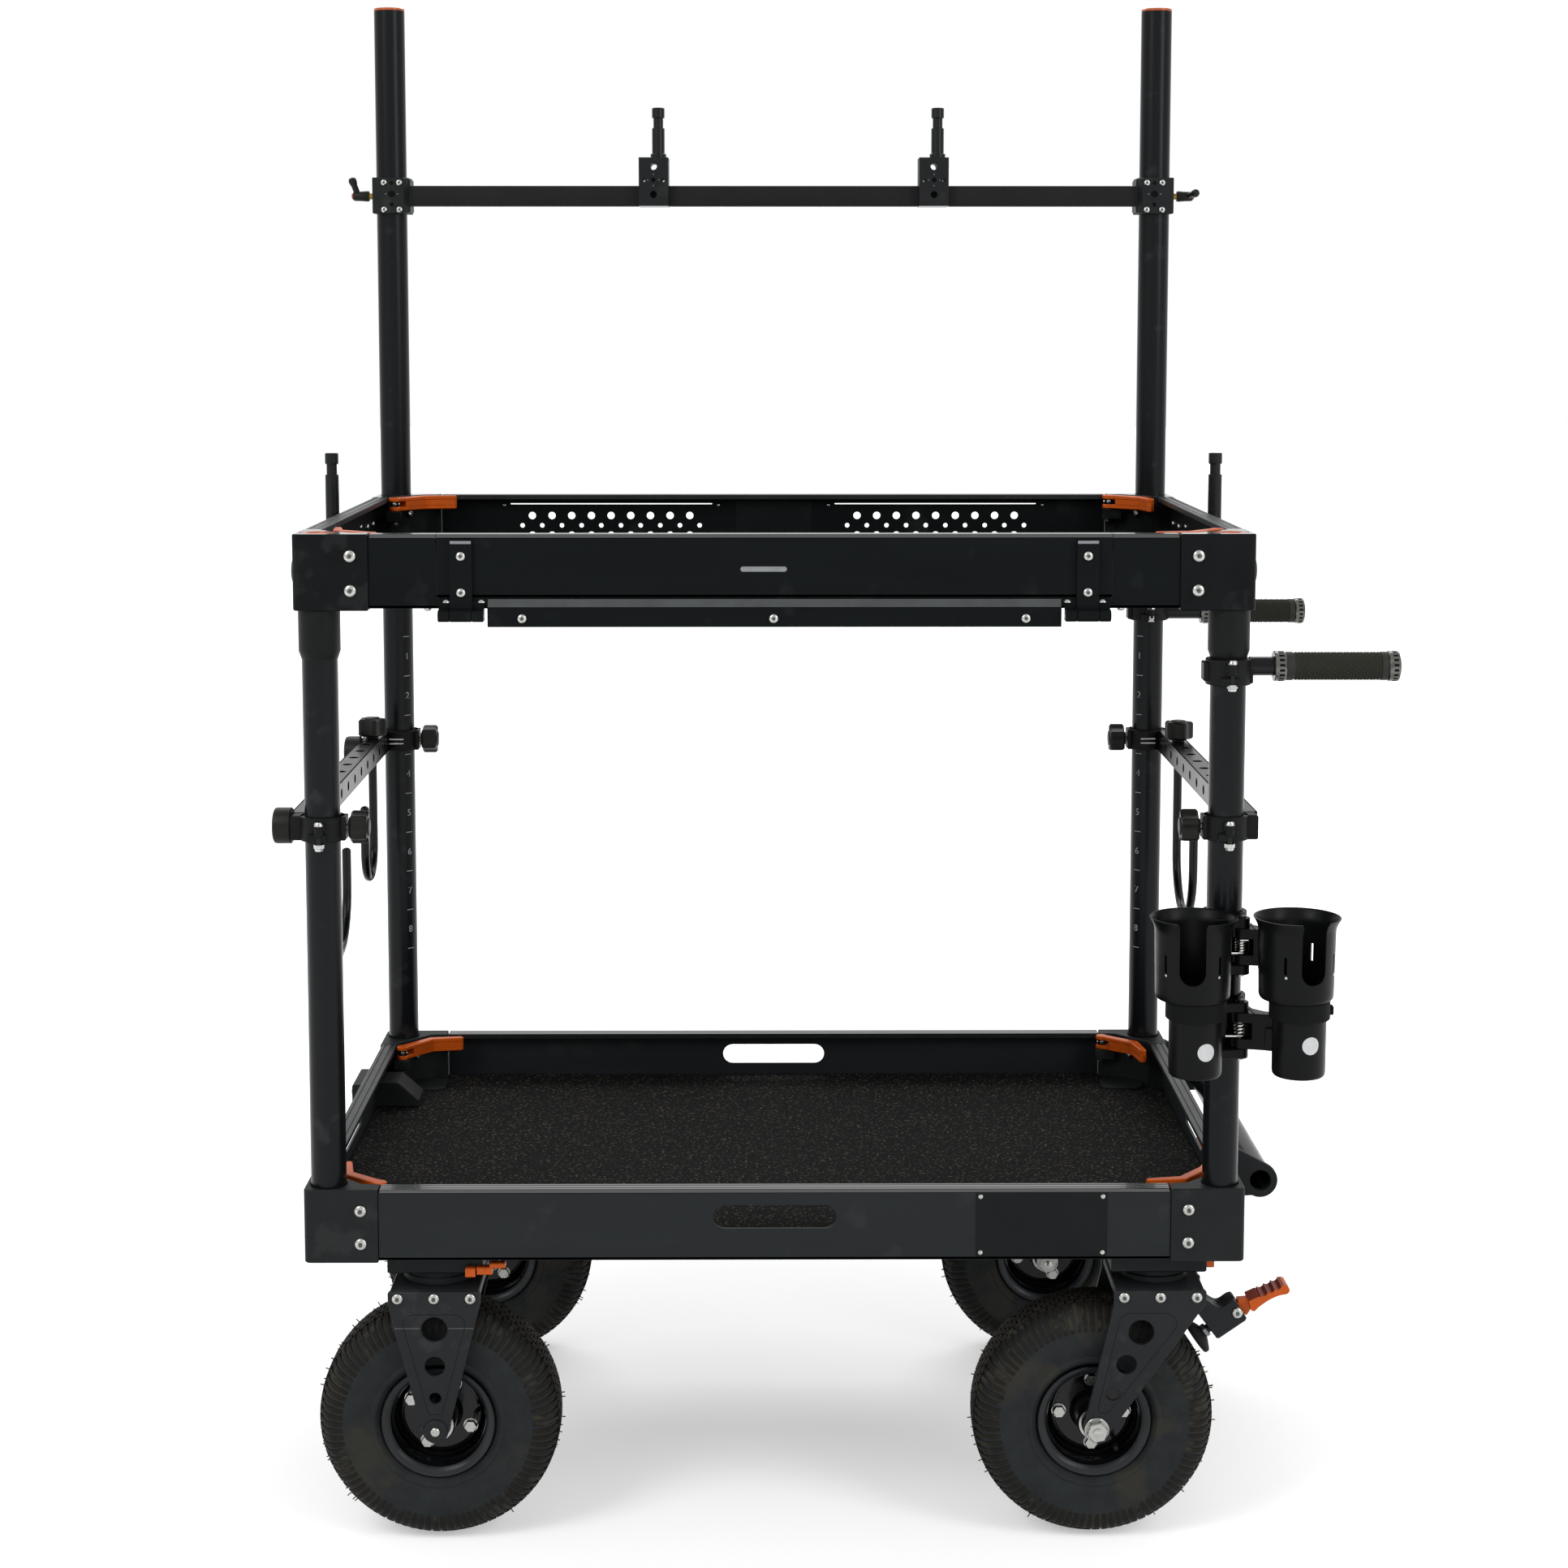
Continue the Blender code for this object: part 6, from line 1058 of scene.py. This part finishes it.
def hook(name, x, y, gap, low, tip, sign, knobbed):
    """J-shaped rod that hangs from a bar and turns up on one side, with a knob or a nut on top."""
    piece = Piece(name)
    radius = gap / 2
    bend = low + HOOK_R + radius
    path = [(x, y, BAR_Z + 18), (x, y, BAR_Z - 20), (x, y, bend)]
    for i in range(1, 17):
        t = math.pi * i / 16
        path.append((x, y + sign * (radius - radius * math.cos(t)), bend - radius * math.sin(t)))
    path.append((x, y + sign * gap, tip - 4))
    piece.add(tube(path, HOOK_R, 20), ROD)
    piece.add(turn([(HOOK_R, 0), (HOOK_R * 0.88, 2.2), (HOOK_R * 0.5, 3.6), (0, 4.1)], 20), ROD,
              at(x, y + sign * gap, tip - 4.1))
    piece.add(disc(9, BAR_Z - 16, BAR_Z - 13, 0.4, 28), STEEL, at(x, y))
    if knobbed:
        piece.add(disc(8, BAR_Z + 13, BAR_Z + 18, 0.4, 28), KNOB, at(x, y))
        star(piece, at(x, y, BAR_Z + 16), 22)
    else:
        piece.hexagon(15, 8, 1.5, at(x, y, BAR_Z + 13))
    piece.make("tube")


hook("hook_left_rear", -508, 229, 73, 634, 736, -1, True)
hook("hook_left_front", -508, 229 - 7 * 50.8, 134, 595, 713, 1, False)
hook("hook_right", 508, 197, 134, 600, 730, -1, True)


# Push handles

def knurl(piece, start, end, place):
    """Raised diamonds round the grip, along Z."""
    rows, columns = 19, 26
    step = (end - start) / columns
    a, b = 2.0, step * 0.62
    faces = [(0, 1, 5, 4), (1, 2, 6, 5), (2, 3, 7, 6), (3, 0, 4, 7), (4, 5, 6, 7), (3, 2, 1, 0)]
    for column in range(columns):
        z = start + (column + 0.5) * step
        points = [(r, a * u * size, z + b * v * size) for r, size in ((14.3, 1), (15.0, 0.4))
                  for u, v in ((-1, 0), (0, -1), (1, 0), (0, 1))]
        piece.add((points, faces), GRIP,
                  *(place @ spun((row + 0.5 * (column % 2)) / rows) for row in range(rows)))


for name, y, z, half, rise, reach, dome, nut in (("front", -POST_Y, 964.8, 13.8, 5.2, 48.0, 10.4, 11.3),
                                                 ("rear", POST_Y, 963.0, 11.2, 0.0, 66.0, 5.0, 4.0)):
    handle = Piece("push_handle_" + name)
    post_clamp(handle, at(POST_X, y), z - half, z + half, PLASTIC, z + dome, z - nut)
    handle.add(block((POST_X + 17, y - 10, z - half + 1), (POST_X + 25, y + 10, z + half - 0.5), 1.5),
               PLASTIC)
    handle.add(block((POST_X - 27.6, y - 9, z - 10), (POST_X - 22, y + 9, z + 10.5), 1), PLASTIC)
    along = at(POST_X, y, z + rise, RIGHT)
    end = reach + 133
    handle.add(disc(10.2, 22, reach + 4, 0.6, 36), ROD, along)
    handle.add(disc(14.2, reach + 8, end - 8), GRIP, along)
    knurl(handle, reach + 22, end - 20, along)
    for start, stop in ((reach + 11.8, reach + 21), (end - 19.5, end - 11.2)):
        handle.add(turn([(14, start), (15.2, start + 0.6), (15.2, stop - 1.5), (14.4, stop), (14, stop)], 40,
                        ring=True), FLARE, along)
    for start, stop in ((reach, reach + 12), (end - 11.4, end)):
        handle.add(turn([(10, start), (15.6, start), (16.2, start + 0.7), (16.2, stop - 0.7), (15.6, stop),
                         (10, stop)]), RING, along)
        # Dark marks round each ring: painted shade of its grooves
        handle.add(block((16.0, -1.3, start + 4.2), (16.3, 1.3, stop - 2.2), 0.1), RECESS_SHADE,
                   *(along @ spun(i / 18) for i in range(18)))
    handle.add(turn([(13.5, end), (12, end + 1.2), (0, end + 1.4)], 36), PLASTIC, along)
    handle.make("plastic")


# Cup holders

def cup_wall(outer, inner, half_slot, slot_turn, slot_low, slits, span, segments=144):
    """Flared cup wall with a slot whose lips follow it, and with upright slits through it."""
    levels = len(outer)
    top_z = outer[-1][1]
    points = []
    ids = {}
    for layer, profile in enumerate((outer, inner)):
        for level, (radius, z) in enumerate(profile):
            rise = min(1.0, max(0.0, (z - slot_low) / half_slot))
            gap = half_slot * math.sqrt(1 - (1 - rise) ** 2) / radius
            gap *= 1 + 0.16 * max(0.0, (z - top_z + 6) / 6) ** 2
            if layer == 0:
                upper = gap * 0.9
            for step in range(segments + 1):
                t = gap + (2 * math.pi - 2 * gap) * step / segments + math.radians(slot_turn - 90)
                ids[(layer, level, step)] = len(points)
                points.append((radius * math.cos(t), radius * math.sin(t), z))
    cells = set()
    for slit in slits:
        first = round((math.radians(slit) - upper) / (2 * math.pi - 2 * upper) * segments) - 1
        cells |= {first, first + 1}

    def is_open(level, step):
        return (0 <= level < levels - 1 and step in cells and outer[level][1] >= span[0] - 0.01
                and outer[level + 1][1] <= span[1] + 0.01)

    def across(a, b):
        return ids[(0, *a)], ids[(0, *b)], ids[(1, *b)], ids[(1, *a)]

    faces = []
    for level in range(levels - 1):
        for step in range(segments):
            corners = ((level, step), (level, step + 1), (level + 1, step + 1), (level + 1, step))
            if not is_open(level, step):
                faces += [tuple(ids[(layer, *corner)] for corner in corners) for layer in (0, 1)]
                continue
            for k, (dl, ds) in enumerate(((-1, 0), (0, 1), (1, 0), (0, -1))):
                if not is_open(level + dl, step + ds):
                    faces.append(across(corners[k], corners[(k + 1) % 4]))
        if outer[level + 1][1] > slot_low:
            faces += [across((level, step), (level + 1, step)) for step in (0, segments)]
    faces += [across((level, step), (level, step + 1)) for level in (0,
                                                                     levels - 1) for step in range(segments)]
    return points, faces


def cup(piece, x, y, slot_turn):
    rise = [0, 0.5, 1.5, 4, 8, 14, 18, 21, 21.6, 22.4, 23.6, 25.4, 28, 32, 35, 38, 45, 51, 58, 64, 69, 73.5,
            76,
            78.5, 81, 83.5, 85.6, 86.5, 87]
    outer, inner = [], []
    for h in rise:
        r = 39.2 + 1.4 * min(1, h / 72) - 2.2 * max(0, 1 - h / 4) ** 2 + 5.7 * max(0,
                                                                                   (h - 73.5) / 13.5) ** 1.6
        lip = 0.6 if h == rise[-1] else 0
        outer.append((r - lip, CUP_FOOT + h))
        inner.append((r - 2.4 + lip, CUP_FOOT + h))
    slits = (43, 126, 234, 317)
    piece.add(cup_wall(outer, inner, 14.0, slot_turn, 646.0, slits, (657, 676)), CUP, at(x, y))
    piece.add(disc(37.5, 625.2, 628, 0.4, 60), CUP, at(x, y))
    ways = [Vector((math.cos(a), math.sin(a), 0)) for a in (math.radians(slot_turn - 90 + s) for s in slits)]
    piece.add(turn([(1.5, 0), (1.4, 0.5), (0, 0.8)], 16), STEEL,
              *(at(x + 40.1 * way.x, y + 40.1 * way.y, 654.6, way) for way in ways))


def sleeve(piece, x, y, face_turn, face_z):
    """Sleeve under a cup with its rubber collar, and a blank disc on its face."""
    place = at(x, y)
    piece.add(turn([(24.5, 546), (26, 543.4), (27.4, 545), (28, 548), (28.3, 606), (24.5, 606)], 60,
                   ring=True),
              CUP, place)
    piece.add(turn([(24.5, 605), (31.4, 605), (32, 605.8), (32, 624), (31.2, 624.9), (24.5, 624.9)], 60,
                   ring=True),
              COLLAR, place)
    piece.add(disc(25, 543.5, 546.5, 0.4, 48), CUP, place)
    rings, around, radius = 5, 30, 28.7
    points = []
    for ring in range(1, rings + 1):
        for u, v in circle(0, 0, 9.5 * ring / rings, around):
            b = math.radians(face_turn) + u / radius
            points.append((x + radius * math.cos(b), y + radius * math.sin(b), face_z + v))
    piece.add((points, [tuple(range(around))] + skin(rings, around)), DISC)


PIVOT = (496.0, -343.0)


def ring_sector(inner, outer, start, end, low, high):
    return plate(arc(POST_X, -POST_Y, outer, start, end, 18) + arc(POST_X, -POST_Y, inner, end, start, 18),
                 low, high)


def arm(points, low, high, chamfer=1.0):
    return plate([(PIVOT[0] + a, PIVOT[1] + b) for a, b in points], low, high, chamfer=chamfer)


left = Piece("cup_holder_left")
cup(left, 441, -367, -9)
sleeve(left, 444, -372, -75, 574)
right = Piece("cup_holder_right")
cup(right, 550.5, -367, 17)
sleeve(right, 553.5, -372, -75, 581)
right.add(block((583, -376, 608), (589, -368, 618), 1), COLLAR)
pivot = at(*PIVOT)
left_arm = [(-31, -14), (-12, -10), (1, -8.5), (1, 8.5), (-10, 16.5), (-17.5, 17.5), (-18, 12), (-24, 4)]
right_arm = [(11, -11.5), (24, -15.5), (38, -21), (38, -6), (26, 1), (16, 12), (14, 24), (4.5, 21.5),
             (2.5, 19),
             (6, 10), (10.2, 4)]
for low in (645.0, 554.0):
    high = low + 61
    left.add(ring_sector(19.4, 24.2, 95, 258, low, high), CUP)
    for start, stop in ((low, low + 10.7), (high - 10.7, high)):
        left.add(arm(left_arm, start, stop), CUP)
        left.add(disc(9, start, stop, 0.6, 32), CUP, pivot)
    left.add(disc(2.9, low + 1, high - 1, 0.3, 20), STEEL, pivot)
    left.add(turn([(5, 0), (4.6, 1.6), (0, 2.6)], 24), PIN, pivot @ at(0, 0, high))
    left.hexagon(7, 3, 0, pivot @ at(0, 0, low) @ FLIP)
    right.add(ring_sector(19.4, 24.2, -56, 85, low, high), CUP)
    right.add(arm(right_arm, low + 11, high - 11), CUP)
    right.add(arm([(24, -19), (38, -24), (38, -3), (24, 3)], low + 16, high - 24, 1.5), CUP)
    for start, stop in ((low + 11, low + 21.7), (high - 21.7, high - 11)):
        right.add(disc(9, start, stop, 0.6, 32), CUP, pivot)
        right.add(arm([(0, -8.8), (14, -12), (12, 14), (0, 8.8)], start, stop, 0.4), CUP)
left.make("plastic", FIXED)
right.make("plastic")

spring = Piece("cup_spring")
for foot, turns, tall in ((668.4, 5, 14.2), (578.6, 4, 15.0)):
    steps = turns * 20
    path = [(PIVOT[0] - 16.4, PIVOT[1] - 6.2, foot)]
    path += [(x, y, foot + tall * i / steps)
             for i, (x, y) in enumerate(arc(*PIVOT, 6.2, -90, 360 * turns - 90, steps))]
    path.append((PIVOT[0] + 6.2, PIVOT[1] - 6.2, foot + tall))
    spring.add(tube(path, 1.1, 10), SPRING)
spring.make("spring", FIXED)


# Floor, light and camera

def seen_rays(tree):
    """One for camera, glossy and transmission rays, which see plain white; none for the rest."""
    paths = node(tree, "LightPath", {})
    most = paths.outputs["Is Camera Ray"]
    for name in ("Is Glossy Ray", "Is Transmission Ray"):
        either = node(tree, "Math", {0: most, 1: paths.outputs[name]})
        either.operation = "MAXIMUM"
        most = either.outputs[0]
    return most


def floor_material(colour, near, far):
    """Pale diffuse floor with a share of white for seen rays, more of it away from the cart."""
    mat = bpy.data.materials.new("studio_floor")
    mat.use_nodes = True
    tree = mat.node_tree
    shader = plug(tree, tree.nodes["Principled BSDF"], {"Base Color": (*colour, 1), "Roughness": 0.8,
                                                        "Specular IOR Level": 0.2})
    length = node(tree, "VectorMath", {0: node(tree, "TexCoord", {}).outputs["Object"]})
    length.operation = "LENGTH"
    fade = node(tree, "MapRange", {"Value": length.outputs["Value"], "From Min": 0.9, "From Max": 2.6,
                                   "To Min": near, "To Max": far})
    glow = node(tree, "Emission", {"Strength": fade.outputs["Result"]})
    both = node(tree, "AddShader", {0: shader.outputs[0], 1: glow.outputs[0]})
    choose = node(tree, "MixShader", {0: seen_rays(tree), 1: shader.outputs[0], 2: both.outputs[0]})
    plug(tree, tree.nodes["Material Output"], {"Surface": choose.outputs[0]})
    return mat


floor_mesh = bpy.data.meshes.new("floor")
floor_mesh.from_pydata([(x, y, -0.001) for x, y in rect(-30, -30, 30, 30)], [], [(0, 1, 2, 3)])
floor = bpy.data.objects.new("floor", floor_mesh)
bpy.context.scene.collection.objects.link(floor)
floor_mesh.materials.append(floor_material((0.86, 0.86, 0.865), 0.40, 0.95))

world = bpy.data.worlds.new("studio")
bpy.context.scene.world = world
world.use_nodes = True
tree = world.node_tree
background = plug(tree, tree.nodes["Background"], {"Color": (1, 1, 1, 1), "Strength": 0.55})
white = node(tree, "Background", {"Color": (1, 1, 1, 1), "Strength": 1.0})
mixer = node(tree, "MixShader", {0: seen_rays(tree), 1: background.outputs[0], 2: white.outputs[0]})
plug(tree, tree.nodes["World Output"], {"Surface": mixer.outputs[0]})


def lamp(name, place, target, size, power):
    data = bpy.data.lights.new(name, "AREA")
    data.shape = "RECTANGLE"
    data.size, data.size_y = size
    data.energy = power
    obj = bpy.data.objects.new(name, data)
    obj.location = place
    obj.rotation_euler = (Vector(target) - Vector(place)).to_track_quat("-Z", "Y").to_euler()
    bpy.context.scene.collection.objects.link(obj)


lamp("key", (-2.6, -2.6, 3.4), (0, 0, 0.8), (1.6, 2.4), 75)
lamp("fill", (2.8, -2.4, 2.6), (0, 0, 0.8), (1.4, 2.6), 55)
lamp("back", (0, 2.8, 3.6), (0, 0, 0.7), (3.5, 1.2), 60)

camera_data = bpy.data.cameras.new("camera")
camera = bpy.data.objects.new("camera", camera_data)
bpy.context.scene.collection.objects.link(camera)
camera_data.sensor_width = 36.0
camera_data.lens = 62.45
camera_data.shift_x = 0.0005
camera_data.shift_y = -0.12
camera_data.clip_start = 0.05
camera_data.clip_end = 100
camera.location = Vector((-0.0066, -3.1792, 1.341)) + OFFSET
camera.rotation_mode = "XYZ"
camera.rotation_euler = (math.pi / 2 - 0.1025, 0.0, -0.0055)
bpy.context.scene.camera = camera
bpy.context.scene.view_settings.view_transform = "Standard"
